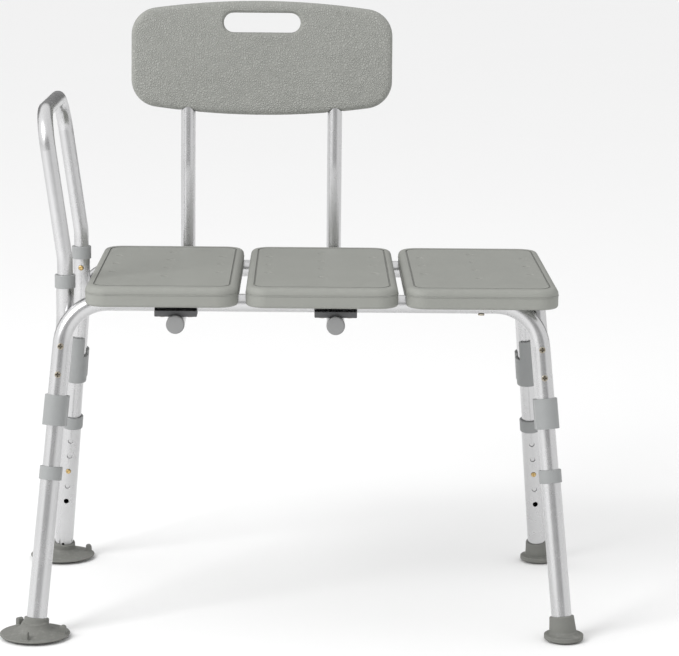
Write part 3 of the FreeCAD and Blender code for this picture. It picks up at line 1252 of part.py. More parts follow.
slim_spring = size("slim_button_root") - size("spring_lap")
keep(side_handle())
for end, window in handle_places.items():
    collar_frame = Placement(Vector(window.Base.x, window.Base.y, 0), Rotation())
    keep(collar(f"{end}_handle_collar", collar_frame, receiver_top, "Sizes.frame_tube", "Sizes.slim_tube"))
    keep(leg_button(f"{end}_handle_button", window, 0, "frame_tube", size("slim_button_root")))
    keep(leaf_spring(f"{end}_handle_spring", window, 0, slim_spring, slim_radius - size("slim_wall")))

for side, window in back_frames().items():
    downward = window.Rotation.multVec(Vector(0, -1, 0))
    tools = [cylinder(f"{side}_back_tube_hole", "Sizes.hole_diameter / 2", "Sizes.frame_tube",
                      window.Base, downward)]
    keep(back_tube(side, tools + back_screws(f"{side}_back_tube_screw_hole", play)))
    hole = cylinder(f"{side}_receiver_button_hole", "Sizes.hole_diameter / 2", "Sizes.frame_tube",
                    window.Base, downward)
    keep(back_receiver(side, [hole]))
    keep(end_cap(f"{side}_receiver_cap", Vector(back_tubes[side], -size("receiver_front"), back_height),
                 Vector(0, -1, 0)))
    keep(leg_button(f"{side}_backrest_button", window, 0, "frame_tube", size("slim_button_root")))
keep(grouped("backrest_springs", [leaf_spring(f"{side}_backrest_spring", window, 0, slim_spring,
                                              slim_radius - size("slim_wall"))
                                  for side, window in back_frames().items()]))
keep(backrest_plate(plate_sockets() + back_screws("plate_screw_hole", play)))

for end, side in CORNERS:
    keep(saddle(end, side, seat_screws(f"{end}_{side}_saddle_seat_hole", play)
                + saddle_screws(f"{end}_{side}_saddle_hole", play)))
for name in panel_places:
    keep(seat_panel(name, seat_screws(f"{name}_panel_hole", play)))

keep(grouped("rail_screws", rail_screws("rail_screw", 0)))
keep(grouped("seat_screws", seat_screws("seat_screw", 0)))
keep(grouped("saddle_screws", saddle_screws("saddle_screw", 0)))
keep(grouped("backrest_screws", back_screws("backrest_screw", 0)))

doc.recompute()
faults = [thing.Label for thing in doc.Objects if {"Invalid", "Error"} & set(thing.State)]
faults += [piece.Label for piece in nodes if piece.Shape.isNull() or not piece.Shape.isValid()]
if faults:
    raise RuntimeError("failed objects: " + ", ".join(faults))
if len({piece.Label for piece in nodes}) != len(nodes):
    raise RuntimeError("two nodes share a name")

os.makedirs("parts", exist_ok=True)
for piece in nodes:
    piece.Shape.exportStep(os.path.join("parts", piece.Label + ".step"))
    solids = len(piece.Shape.Solids)
    print(f"{piece.Label:28s} solids {solids:2d} volume {piece.Shape.Volume / 1000:9.2f} cm3")
print(len(nodes), "nodes")
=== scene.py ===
"""Bath transfer bench: finishes, fine pieces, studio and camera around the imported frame."""
import json
import logging
import math
from abc import ABC, abstractmethod
from dataclasses import dataclass, field
from enum import Enum
from typing import Union

import bmesh
import bpy
from mathutils import Matrix, Vector

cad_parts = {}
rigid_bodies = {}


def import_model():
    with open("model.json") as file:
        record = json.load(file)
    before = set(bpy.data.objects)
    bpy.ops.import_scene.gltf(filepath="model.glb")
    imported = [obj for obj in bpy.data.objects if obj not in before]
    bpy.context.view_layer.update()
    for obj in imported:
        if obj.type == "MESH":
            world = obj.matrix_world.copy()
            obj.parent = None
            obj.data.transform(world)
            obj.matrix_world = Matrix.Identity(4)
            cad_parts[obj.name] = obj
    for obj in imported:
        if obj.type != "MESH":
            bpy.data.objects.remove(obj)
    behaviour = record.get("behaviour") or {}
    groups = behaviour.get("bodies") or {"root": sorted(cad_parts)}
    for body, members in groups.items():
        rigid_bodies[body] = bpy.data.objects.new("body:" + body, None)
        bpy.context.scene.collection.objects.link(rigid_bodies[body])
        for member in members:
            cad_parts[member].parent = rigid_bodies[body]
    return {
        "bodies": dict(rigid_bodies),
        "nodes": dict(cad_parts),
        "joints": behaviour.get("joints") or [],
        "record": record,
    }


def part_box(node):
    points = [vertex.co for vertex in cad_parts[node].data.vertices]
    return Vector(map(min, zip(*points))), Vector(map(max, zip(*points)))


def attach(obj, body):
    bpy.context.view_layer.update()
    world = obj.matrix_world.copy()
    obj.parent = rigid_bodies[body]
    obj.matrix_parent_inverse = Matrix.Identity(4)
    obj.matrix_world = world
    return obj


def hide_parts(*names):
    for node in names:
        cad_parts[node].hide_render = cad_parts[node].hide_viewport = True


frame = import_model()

logging.basicConfig(level=logging.INFO, format="%(message)s")
log = logging.getLogger("transfer_bench")

Colour = tuple[float, float, float]
Triple = tuple[float, float, float]
Value = Union[bpy.types.NodeSocket, float, tuple]
Socket = bpy.types.NodeSocket
Sockets = bpy.types.NodeOutputs
MM = 0.001
FINISH_PREFIX = "finish."  # keeps a finish apart from the materials that come with the frame
BEVEL_SAMPLES = 4
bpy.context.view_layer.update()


# -------------------------------- shader building

class Graph:
    """Thin helper around a node tree, so that a finish reads as a list of its effects."""

    def __init__(self, tree: bpy.types.NodeTree) -> None:
        """Wraps a node tree.

        Args:
            tree: Node tree of a material, a world or a node group.
        """
        self.tree = tree

    def node(self, kind: str, inputs: dict[object, Value] | None = None,
             **settings: object) -> bpy.types.Node:
        """Adds a node.

        Args:
            kind: Blender's node type name.
            inputs: Socket name or index to a number, a colour or another node's output.
            settings: Properties of the node itself, such as an operation.

        Returns:
            The new node.
        """
        made = self.tree.nodes.new(kind)
        for key, value in settings.items():
            setattr(made, key, value)
        for key, value in (inputs or {}).items():
            self.feed(made.inputs[key], value)
        return made

    def feed(self, socket: Socket, value: Value) -> None:
        """Links an output to a socket, or sets the socket's own value.

        Args:
            socket: Input socket to fill.
            value: Another node's output, a number or a tuple.
        """
        if isinstance(value, bpy.types.NodeSocket):
            self.tree.links.new(value, socket)
        else:
            socket.default_value = value

    def maths(self, operation: str, *values: Value, clamp: bool = False) -> Socket:
        """Adds a Math node and returns its result.

        Args:
            operation: Blender's name of the operation.
            values: One to three numbers or outputs.
            clamp: Whether the result is kept between 0 and 1.

        Returns:
            The result's output socket.
        """
        made = self.node("ShaderNodeMath", dict(enumerate(values)), operation=operation, use_clamp=clamp)
        return made.outputs[0]

    def remap(self, value: Value, low: float, high: float,
              to_low: float = 0.0, to_high: float = 1.0) -> Socket:
        """Maps one range onto another, smoothly and clamped.

        Args:
            value: Output to map.
            low: Value that becomes to_low.
            high: Value that becomes to_high.
            to_low: Result at low.
            to_high: Result at high.

        Returns:
            The result's output socket.
        """
        made = self.node("ShaderNodeMapRange", {0: value, 1: low, 2: high, 3: to_low, 4: to_high},
                         interpolation_type="SMOOTHSTEP")
        return made.outputs[0]

    def blend(self, share: Value, one: Value, other: Value, mode: str = "MIX") -> Socket:
        """Mixes two colours.

        Args:
            share: How much of the second colour.
            one: First colour.
            other: Second colour.
            mode: Blender's blend mode.

        Returns:
            The mixed colour's output socket.
        """
        made = self.node("ShaderNodeMix", data_type="RGBA", blend_type=mode)
        self.feed(made.inputs[0], share)
        self.feed(made.inputs[6], one if isinstance(one, bpy.types.NodeSocket) else (*one, 1))
        self.feed(made.inputs[7], other if isinstance(other, bpy.types.NodeSocket) else (*other, 1))
        return made.outputs[2]

    def noise(self, where: Socket, scale: Value, detail: float = 2.0, roughness: float = 0.5) -> Socket:
        """Adds a noise texture and returns its value.

        Args:
            where: Coordinates.
            scale: Features in a metre.
            detail: Octaves.
            roughness: Weight of the finer octaves.

        Returns:
            The noise value's output socket.
        """
        made = self.node("ShaderNodeTexNoise", {"Vector": where, "Scale": scale, "Detail": detail,
                                                "Roughness": roughness})
        return made.outputs[0]


class Effect(ABC):
    """A shader effect that several finishes share, kept as one node group."""

    name: str
    inputs: tuple[tuple[str, str, object], ...]
    outputs: tuple[tuple[str, str], ...]

    @classmethod
    def group(cls) -> bpy.types.NodeTree:
        """Builds the effect's node group the first time it is asked for.

        Returns:
            The node group.
        """
        found = bpy.data.node_groups.get(cls.name)
        if found:
            return found
        tree = bpy.data.node_groups.new(cls.name, "ShaderNodeTree")
        for label, kind, default in cls.inputs:
            socket = tree.interface.new_socket(label, in_out="INPUT", socket_type=kind)
            if default is not None:
                socket.default_value = default
        for label, kind in cls.outputs:
            tree.interface.new_socket(label, in_out="OUTPUT", socket_type=kind)
        graph = Graph(tree)
        given = tree.nodes.new("NodeGroupInput").outputs
        result = tree.nodes.new("NodeGroupOutput").inputs
        for label, value in cls.build(graph, given).items():
            graph.feed(result[label], value)
        return tree

    @classmethod
    @abstractmethod
    def build(cls, graph: Graph, given: Sockets) -> dict[str, Value]:
        """Makes the effect's nodes.

        Args:
            graph: The group's node tree.
            given: The group's input sockets by name.

        Returns:
            Output name to the socket that feeds it.
        """

    @classmethod
    def add(cls, graph: Graph, **inputs: Value) -> Sockets:
        """Places the effect in a finish.

        Args:
            graph: The material's node tree.
            inputs: Values of the group's inputs, with _ for a space.

        Returns:
            The group node's outputs.
        """
        made = graph.node("ShaderNodeGroup")
        made.node_tree = cls.group()
        for key, value in inputs.items():
            graph.feed(made.inputs[key.replace("_", " ")], value)
        return made.outputs


class EdgeWear(Effect):
    """Mask of the edges that hands and floors rub."""

    name = "edge_wear"
    inputs = (("Vector", "NodeSocketVector", None), ("Radius", "NodeSocketFloat", 0.0015),
              ("Breakup", "NodeSocketFloat", 60.0))
    outputs = (("Mask", "NodeSocketFloat"),)
    turned = (0.01, 0.16)
    unbroken = (0.36, 0.62)

    @classmethod
    def build(cls, graph: Graph, given: Sockets) -> dict[str, Value]:
        """Compares the rounded normal with the true one and breaks the band up with noise.

        Args:
            graph: The group's node tree.
            given: The group's input sockets by name.

        Returns:
            Output name to the socket that feeds it.
        """
        soft = graph.node("ShaderNodeBevel", {"Radius": given["Radius"]}, samples=BEVEL_SAMPLES).outputs[0]
        true = graph.node("ShaderNodeNewGeometry").outputs["Normal"]
        both = graph.node("ShaderNodeVectorMath", {0: soft, 1: true}, operation="DOT_PRODUCT")
        edge = graph.remap(graph.maths("SUBTRACT", 1.0, both.outputs["Value"]), *cls.turned)
        whole = graph.remap(graph.noise(given["Vector"], given["Breakup"], 4.0, 0.65), *cls.unbroken)
        return {"Mask": graph.maths("MULTIPLY", edge, whole)}


class Mottle(Effect):
    """Slow change of colour over a moulding, with faint flow marks."""

    name = "mottle"
    inputs = (("Vector", "NodeSocketVector", None), ("Colour", "NodeSocketColor", (0.5, 0.5, 0.5, 1)),
              ("Scale", "NodeSocketFloat", 12.0), ("Amount", "NodeSocketFloat", 0.06))
    outputs = (("Colour", "NodeSocketColor"), ("Mask", "NodeSocketFloat"))
    fineness = 17.0
    slow_share = 0.7
    fine_share = 0.3
    swing = 4.0

    @classmethod
    def build(cls, graph: Graph, given: Sockets) -> dict[str, Value]:
        """Multiplies the colour by a slow noise and a finer one.

        Args:
            graph: The group's node tree.
            given: The group's input sockets by name.

        Returns:
            Output name to the socket that feeds it.
        """
        slow = graph.noise(given["Vector"], given["Scale"], 3.0, 0.55)
        fine = graph.noise(given["Vector"], graph.maths("MULTIPLY", given["Scale"], cls.fineness), 2.0, 0.6)
        both = graph.maths("ADD", graph.maths("MULTIPLY", slow, cls.slow_share),
                           graph.maths("MULTIPLY", fine, cls.fine_share))
        change = graph.maths("MULTIPLY", graph.maths("SUBTRACT", both, 0.5), given["Amount"])
        level = graph.maths("ADD", 1.0, graph.maths("MULTIPLY", change, cls.swing))
        grey = graph.node("ShaderNodeCombineColor", {0: level, 1: level, 2: level}).outputs[0]
        return {"Colour": graph.blend(1.0, given["Colour"], grey, "MULTIPLY"), "Mask": both}


class FineGrain(Effect):
    """Etched grain of a mould or of blasted metal."""

    name = "fine_grain"
    inputs = (("Vector", "NodeSocketVector", None), ("Scale", "NodeSocketFloat", 1400.0),
              ("Depth", "NodeSocketFloat", 0.5))
    outputs = (("Height", "NodeSocketFloat"),)
    cell_share = 0.5
    coarser = 0.6

    @classmethod
    def build(cls, graph: Graph, given: Sockets) -> dict[str, Value]:
        """Adds small cells to a fine noise.

        Args:
            graph: The group's node tree.
            given: The group's input sockets by name.

        Returns:
            Output name to the socket that feeds it.
        """
        cells = graph.node("ShaderNodeTexVoronoi", {"Vector": given["Vector"], "Scale": given["Scale"]},
                           feature="SMOOTH_F1").outputs["Distance"]
        fine = graph.noise(given["Vector"], graph.maths("MULTIPLY", given["Scale"], cls.coarser), 3.0, 0.6)
        both = graph.maths("ADD", graph.maths("MULTIPLY", cells, cls.cell_share), fine)
        return {"Height": graph.maths("MULTIPLY", both, given["Depth"])}


class Pebble(Effect):
    """Leather-like pebbles, as a blow mould's etched face leaves them."""

    name = "pebble"
    inputs = (("Vector", "NodeSocketVector", None), ("Scale", "NodeSocketFloat", 420.0))
    outputs = (("Height", "NodeSocketFloat"), ("Valley", "NodeSocketFloat"))
    wander = (0.0035, 0.0035, 0.0035)
    wander_scale = 0.35
    dome = (0.0, 0.32)
    # span of the crease mask, which the pebbled finish darkens as painted shade
    crease_shade = (0.0, 0.12)
    skin_scale = 4.0
    skin_share = 0.15

    @classmethod
    def build(cls, graph: Graph, given: Sockets) -> dict[str, Value]:
        """Rounds cells whose borders wander, and finds the creases between them.

        Args:
            graph: The group's node tree.
            given: The group's input sockets by name.

        Returns:
            Output name to the socket that feeds it.
        """
        slower = graph.maths("MULTIPLY", given["Scale"], cls.wander_scale)
        drift = graph.node("ShaderNodeTexNoise", {"Vector": given["Vector"], "Detail": 2.0,
                                                  "Scale": slower}).outputs[1]
        pull = graph.node("ShaderNodeVectorMath", {0: drift, 1: cls.wander}, operation="MULTIPLY").outputs[0]
        place = graph.node("ShaderNodeVectorMath", {0: given["Vector"], 1: pull}, operation="ADD").outputs[0]
        border = graph.node("ShaderNodeTexVoronoi", {"Vector": place, "Scale": given["Scale"]},
                            feature="DISTANCE_TO_EDGE").outputs["Distance"]
        dome = graph.remap(border, *cls.dome)
        fine = graph.noise(given["Vector"], graph.maths("MULTIPLY", given["Scale"], cls.skin_scale), 2.0, 0.5)
        height = graph.maths("ADD", dome, graph.maths("MULTIPLY", fine, cls.skin_share))
        return {"Height": height, "Valley": graph.maths("SUBTRACT", 1.0, graph.remap(border, *cls.crease_shade))}


class DrawnLines(Effect):
    """Faint lines that a drawing die leaves along a tube."""

    name = "drawn_lines"
    inputs = (("Vector", "NodeSocketVector", None), ("Fineness", "NodeSocketFloat", 900.0))
    outputs = (("Height", "NodeSocketFloat"), ("Mask", "NodeSocketFloat"))
    stretch = (1.0, 1.0, 0.012)
    coarser = 0.2

    @classmethod
    def build(cls, graph: Graph, given: Sockets) -> dict[str, Value]:
        """Stretches noise along the vector's Z, which is the tube's own direction.

        Args:
            graph: The group's node tree.
            given: The group's input sockets by name.

        Returns:
            Output name to the socket that feeds it.
        """
        long = graph.node("ShaderNodeVectorMath", {0: given["Vector"], 1: cls.stretch},
                          operation="MULTIPLY").outputs[0]
        lines = graph.noise(long, given["Fineness"], 2.0, 0.6)
        bands = graph.noise(long, graph.maths("MULTIPLY", given["Fineness"], cls.coarser), 2.0, 0.5)
        return {"Height": graph.maths("ADD", lines, bands), "Mask": bands}


class Dust(Effect):
    """Mask of the dust and dried water that lie on faces turned up."""

    name = "dust"
    inputs = (("Vector", "NodeSocketVector", None), ("Scale", "NodeSocketFloat", 70.0),
              ("Amount", "NodeSocketFloat", 0.3))
    outputs = (("Mask", "NodeSocketFloat"),)
    covered = (0.45, 0.75)
    facing_up = (0.1, 0.9)

    @classmethod
    def build(cls, graph: Graph, given: Sockets) -> dict[str, Value]:
        """Keeps a broken noise only where the surface faces upwards.

        Args:
            graph: The group's node tree.
            given: The group's input sockets by name.

        Returns:
            Output name to the socket that feeds it.
        """
        normal = graph.node("ShaderNodeNewGeometry").outputs["Normal"]
        level = graph.node("ShaderNodeSeparateXYZ", {0: normal}).outputs["Z"]
        patches = graph.remap(graph.noise(given["Vector"], given["Scale"], 5.0, 0.7), *cls.covered)
        lying = graph.maths("MULTIPLY", graph.remap(level, *cls.facing_up), patches)
        return {"Mask": graph.maths("MULTIPLY", lying, given["Amount"])}


class CreviceShade(Effect):
    """Mask of grooves, recesses and seams, for the painted shade that darkens them."""

    name = "crevice"
    inputs = (("Distance", "NodeSocketFloat", 0.004),)
    outputs = (("Mask", "NodeSocketFloat"),)
    shaded = (0.86, 0.40)
    samples = 6

    @classmethod
    def build(cls, graph: Graph, given: Sockets) -> dict[str, Value]:
        """Finds places that their near surroundings shade.

        Args:
            graph: The group's node tree.
            given: The group's input sockets by name.

        Returns:
            Output name to the socket that feeds it.
        """
        # painted shade: this ambient-occlusion mask darkens colour in grooves, holes and seams
        open_share = graph.node("ShaderNodeAmbientOcclusion", {"Distance": given["Distance"]},
                                samples=cls.samples).outputs["AO"]
        return {"Mask": graph.remap(open_share, *cls.shaded)}


# -------------------------------- finishes

DUST_ON_PLASTIC = (0.62, 0.61, 0.58)
DUST_ON_METAL = (0.66, 0.65, 0.63)
DUST_ON_RUBBER = (0.50, 0.49, 0.46)
SCUFFED_RUBBER = (0.20, 0.19, 0.175)
# colour of the painted shade in a metal part's recesses
RECESS_SHADE = (0.015, 0.012, 0.010)


def toned(colour: Colour, factor: float, lift: float = 0.0) -> Colour:
    """Makes a colour darker or paler.

    Args:
        colour: The colour to start from.
        factor: What each channel is multiplied by.
        lift: What is then added to it.

    Returns:
        The new colour, with no channel above one.
    """
    return tuple(min(1.0, channel * factor + lift) for channel in colour)


@dataclass(frozen=True)
class Finish(ABC):
    """A finish that can be put on a piece; edge is how far its edges are rounded, in metres."""

    name: str
    edge: float = field(default=0.0005, kw_only=True)

    def material(self) -> bpy.types.Material:
        """Builds the finish's material the first time it is asked for.

        Returns:
            The material.
        """
        found = bpy.data.materials.get(FINISH_PREFIX + self.name)
        if found:
            return found
        made = bpy.data.materials.new(FINISH_PREFIX + self.name)
        made.use_nodes = True
        made.node_tree.nodes.clear()
        graph = Graph(made.node_tree)
        out = graph.node("ShaderNodeOutputMaterial")
        where = graph.node("ShaderNodeTexCoord").outputs["Object"]
        shader = graph.node("ShaderNodeBsdfPrincipled")
        graph.feed(out.inputs["Surface"], shader.outputs[0])
        self.shade(graph, shader, where)
        return made

    @abstractmethod
    def shade(self, graph: Graph, shader: bpy.types.Node, where: Socket) -> None:
        """Fills the shader's sockets.

        Args:
            graph: The material's node tree.
            shader: Its Principled BSDF.
            where: Coordinates in the object's own frame, in metres.
        """

    def bump(self, graph: Graph, shader: bpy.types.Node, *layers: tuple[object, float]) -> None:
        """Stacks bump layers onto the shader.

        Args:
            graph: The material's node tree.
            shader: Its Principled BSDF.
            layers: Pairs of a height and the distance in metres that it spans.
        """
        normal = graph.node("ShaderNodeBevel", {"Radius": self.edge}, samples=BEVEL_SAMPLES).outputs[0]
        for height, distance in layers:
            step = graph.node("ShaderNodeBump", {"Height": height, "Distance": distance, "Normal": normal})
            step.inputs["Strength"].default_value = 1.0
            normal = step.outputs[0]
        graph.feed(shader.inputs["Normal"], normal)


@dataclass(frozen=True)
class Moulded(Finish):
    """Matt moulded plastic with an even fine grain."""

    colour: Colour
    roughness: float = 0.56
    grain: float = 1500.0
    depth: float = 0.00006
    mottle: float = 0.05
    wear: float = 0.35
    specular: float = 0.42
    # painted shade in grooves, holes and seams: its strength, and how far the occlusion looks
    dirt: float = 0.70
    shade_reach: float = 0.008
    dusting: float = 0.25

    def shade(self, graph: Graph, shader: bpy.types.Node, where: Socket) -> None:
        """Colour that drifts slowly, lighter rubbed edges, dust, painted shade in the grooves and etched
        grain.

        Args:
            graph: The material's node tree.
            shader: Its Principled BSDF.
            where: Coordinates in the object's own frame, in metres.
        """
        tone = Mottle.add(graph, Vector=where, Colour=(*self.colour, 1), Amount=self.mottle)
        rubbed = EdgeWear.add(graph, Vector=where)["Mask"]
        dust = Dust.add(graph, Vector=where)["Mask"]
        pale = toned(self.colour, 1.28, 0.02)
        colour = graph.blend(graph.maths("MULTIPLY", rubbed, self.wear), tone["Colour"], pale)
        colour = graph.blend(graph.maths("MULTIPLY", dust, self.dusting), colour, DUST_ON_PLASTIC)
        # painted shade: colour darkened where ambient occlusion finds grooves, holes and seams
        dirt = graph.maths("MULTIPLY", CreviceShade.add(graph, Distance=self.shade_reach)["Mask"], self.dirt)
        colour = graph.blend(dirt, colour, toned(self.colour, 0.30))
        rough = graph.maths("ADD", self.roughness - 0.06, graph.maths("MULTIPLY", tone["Mask"], 0.12))
        rough = graph.maths("SUBTRACT", rough, graph.maths("MULTIPLY", rubbed, 0.10))
        rough = graph.maths("ADD", rough, graph.maths("MULTIPLY", dust, self.dusting), clamp=True)
        graph.feed(shader.inputs["Base Color"], colour)
        graph.feed(shader.inputs["Roughness"], rough)
        shader.inputs["Specular IOR Level"].default_value = self.specular
        grain = FineGrain.add(graph, Vector=where, Scale=self.grain, Depth=1.0)["Height"]
        swell = graph.noise(where, 26.0, 2.0, 0.5)
        self.bump(graph, shader, (swell, 0.0004), (grain, self.depth))


@dataclass(frozen=True)
class Pebbled(Moulded):
    """Moulded plastic with a leather-like face."""

    pebbles: float = 430.0
    pebble_depth: float = 0.00035
    crease_shading: float = 0.60

    def shade(self, graph: Graph, shader: bpy.types.Node, where: Socket) -> None:
        """Adds pebbles to the moulded finish, with painted shade in the creases between them.

        Args:
            graph: The material's node tree.
            shader: Its Principled BSDF.
            where: Coordinates in the object's own frame, in metres.
        """
        super().shade(graph, shader, where)
        skin = Pebble.add(graph, Vector=where, Scale=self.pebbles)
        plain = shader.inputs["Base Color"].links[0].from_socket
        # painted shade: the creases between pebbles are darkened in the colour
        crease_shade = toned(self.colour, 0.60)
        graph.feed(shader.inputs["Base Color"],
                   graph.blend(graph.maths("MULTIPLY", skin["Valley"], self.crease_shading), plain, crease_shade))
        swell = graph.noise(where, 30.0, 2.0, 0.5)
        grain = FineGrain.add(graph, Vector=where, Scale=self.grain, Depth=1.0)["Height"]
        self.bump(graph, shader, (swell, 0.0003), (skin["Height"], self.pebble_depth), (grain, 0.00003))


@dataclass(frozen=True)
class Anodised(Finish):
    """Satin anodised aluminium tube, with lines along the direction it was drawn in."""

    along: Triple = (0.0, 0.0, 1.0)
    colour: Colour = (0.605, 0.605, 0.61)
    roughness: float = 0.25
    dusting: float = 0.18
    smearing: float = 0.06

    def shade(self, graph: Graph, shader: bpy.types.Node, where: Socket) -> None:
        """Bright metal whose roughness follows its drawn lines, with dulled patches and rubbed marks.

        Args:
            graph: The material's node tree.
            shader: Its Principled BSDF.
            where: Coordinates in the object's own frame, in metres.
        """
        turn = Vector(self.along).rotation_difference(Vector((0, 0, 1))).to_euler()
        drawn = graph.node("ShaderNodeMapping", {"Vector": where, "Rotation": tuple(turn)}).outputs[0]
        lines = DrawnLines.add(graph, Vector=drawn)
        tone = Mottle.add(graph, Vector=where, Colour=(*self.colour, 1), Scale=22.0, Amount=0.025)
        dust = Dust.add(graph, Vector=where, Scale=40.0, Amount=0.5)["Mask"]
        smears = graph.remap(graph.noise(where, 18.0, 4.0, 0.65), 0.42, 0.72)
        colour = graph.blend(graph.maths("MULTIPLY", dust, self.dusting), tone["Colour"], DUST_ON_METAL)
        rough = graph.maths("ADD", self.roughness - 0.05, graph.maths("MULTIPLY", lines["Mask"], 0.10))
        rough = graph.maths("ADD", rough, graph.maths("MULTIPLY", smears, self.smearing))
        rough = graph.maths("ADD", rough, graph.maths("MULTIPLY", dust, 0.15), clamp=True)
        graph.feed(shader.inputs["Base Color"], colour)
        graph.feed(shader.inputs["Roughness"], rough)
        shader.inputs["Metallic"].default_value = 1.0
        grain = FineGrain.add(graph, Vector=where, Scale=2600.0, Depth=1.0)["Height"]
        self.bump(graph, shader, (lines["Height"], 0.000003), (grain, 0.000002))


@dataclass(frozen=True)
class Metal(Finish):
    """Small metal part, with tarnish and rubbed edges."""

    colour: Colour
    tarnish: Colour
    roughness: float = 0.25
    scale: float = 400.0
    recess_shade: float = 0.0

    def shade(self, graph: Graph, shader: bpy.types.Node, where: Socket) -> None:
        """Metal with tarnished patches that edges are rubbed free of, and painted shade in its recesses.

        Args:
            graph: The material's node tree.
            shader: Its Principled BSDF.
            where: Coordinates in the object's own frame, in metres.
        """
        patches = graph.remap(graph.noise(where, self.scale, 4.0, 0.6), 0.42, 0.70)
        rubbed = EdgeWear.add(graph, Vector=where, Radius=0.0004, Breakup=900.0)["Mask"]
        share = graph.maths("MULTIPLY", patches, graph.maths("SUBTRACT", 1.0, rubbed))
        colour = graph.blend(share, self.colour, self.tarnish)
        # painted shade: recesses darkened nearly to black where ambient occlusion finds them
        recess_shading = graph.maths("MULTIPLY", CreviceShade.add(graph, Distance=0.0025)["Mask"], self.recess_shade)
        graph.feed(shader.inputs["Base Color"], graph.blend(recess_shading, colour, RECESS_SHADE))
        rough = graph.maths("ADD", self.roughness, graph.maths("MULTIPLY", share, 0.2))
        graph.feed(shader.inputs["Roughness"], rough)
        shader.inputs["Metallic"].default_value = 1.0
        grain = FineGrain.add(graph, Vector=where, Scale=3200.0, Depth=1.0)["Height"]
        self.bump(graph, shader, (grain, 0.00002))


@dataclass(frozen=True)
class Rubber(Finish):
    """Soft matt rubber, paler at its edges, scuffed near the floor and dusty on top."""

    colour: Colour
    roughness: float = 0.66
    bloom: float = 0.35
    scuffing: float = 0.35
    scuff_height: float = 0.014
    dusting: float = 0.3

    def shade(self, graph: Graph, shader: bpy.types.Node, where: Socket) -> None:
        """Rubber with a pale bloom at its edges, scuffs low down and dust on faces turned up.

        Args:
            graph: The material's node tree.
            shader: Its Principled BSDF.
            where: Coordinates in the object's own frame, in metres.
        """
        tone = Mottle.add(graph, Vector=where, Colour=(*self.colour, 1), Scale=45.0, Amount=0.07)
        rubbed = EdgeWear.add(graph, Vector=where, Radius=0.002, Breakup=150.0)["Mask"]
        height = graph.node("ShaderNodeSeparateXYZ", {0: where}).outputs["Z"]
        low = graph.maths("SUBTRACT", 1.0, graph.remap(height, 0.0, self.scuff_height))
        scuff = graph.maths("MULTIPLY", low, graph.remap(graph.noise(where, 160.0, 4.0, 0.7), 0.42, 0.7))
        dust = Dust.add(graph, Vector=where, Scale=120.0, Amount=0.6)["Mask"]
        pale = toned(self.colour, 1.25, 0.03)
        colour = graph.blend(graph.maths("MULTIPLY", rubbed, self.bloom), tone["Colour"], pale)
        colour = graph.blend(graph.maths("MULTIPLY", scuff, self.scuffing), colour, SCUFFED_RUBBER)
        colour = graph.blend(graph.maths("MULTIPLY", dust, self.dusting), colour, DUST_ON_RUBBER)
        uneven = graph.maths("MULTIPLY", tone["Mask"], 0.16)
        rough = graph.maths("ADD", self.roughness - 0.08, uneven, clamp=True)
        graph.feed(shader.inputs["Base Color"], colour)
        graph.feed(shader.inputs["Roughness"], rough)
        shader.inputs["Specular IOR Level"].default_value = 0.34
        grain = FineGrain.add(graph, Vector=where, Scale=1100.0, Depth=1.0)["Height"]
        self.bump(graph, shader, (graph.noise(where, 60.0, 2.0), 0.0004), (grain, 0.00008))


# -------------------------------- the bench's own finishes

SEAT = Moulded("seat_plastic", (0.270, 0.275, 0.253), depth=0.00010)
BACK = Pebbled("backrest_plastic", (0.350, 0.355, 0.331), pebbles=300.0, pebble_depth=0.0009)
FITTING = Moulded("fitting_plastic", (0.300, 0.308, 0.308), roughness=0.46, grain=2200.0, depth=0.00003)
CAP = Moulded("cap_plastic", (0.252, 0.254, 0.254), roughness=0.44, grain=2200.0, depth=0.00003)
SADDLE = Moulded("saddle_plastic", (0.125, 0.127, 0.130), roughness=0.5, depth=0.00004)
FOOT = Rubber("foot_rubber", (0.180, 0.182, 0.168), edge=0.0008)
BRASS = Metal("button_brass", (0.66, 0.48, 0.22), (0.36, 0.24, 0.10), 0.2)
SPRING = Metal("spring_steel", (0.52, 0.52, 0.50), (0.30, 0.29, 0.27), 0.3)
SCREW = Metal("screw_zinc", (0.50, 0.46, 0.38), (0.26, 0.21, 0.15), 0.28, recess_shade=1.0)

PLAIN_SLOTS: dict[str, Finish] = {"seat_shell": SEAT, "backrest_shell": BACK, "moulding": FITTING, "cap": CAP,
                                  "saddle": SADDLE, "foot_rubber": FOOT, "button": BRASS, "spring": SPRING,
                                  "screw": SCREW}
TUBE_SLOTS = ("frame_tube", "leg_tube", "slim_tube")


# -------------------------------- mesh building

Profile = list[tuple[float, float]]


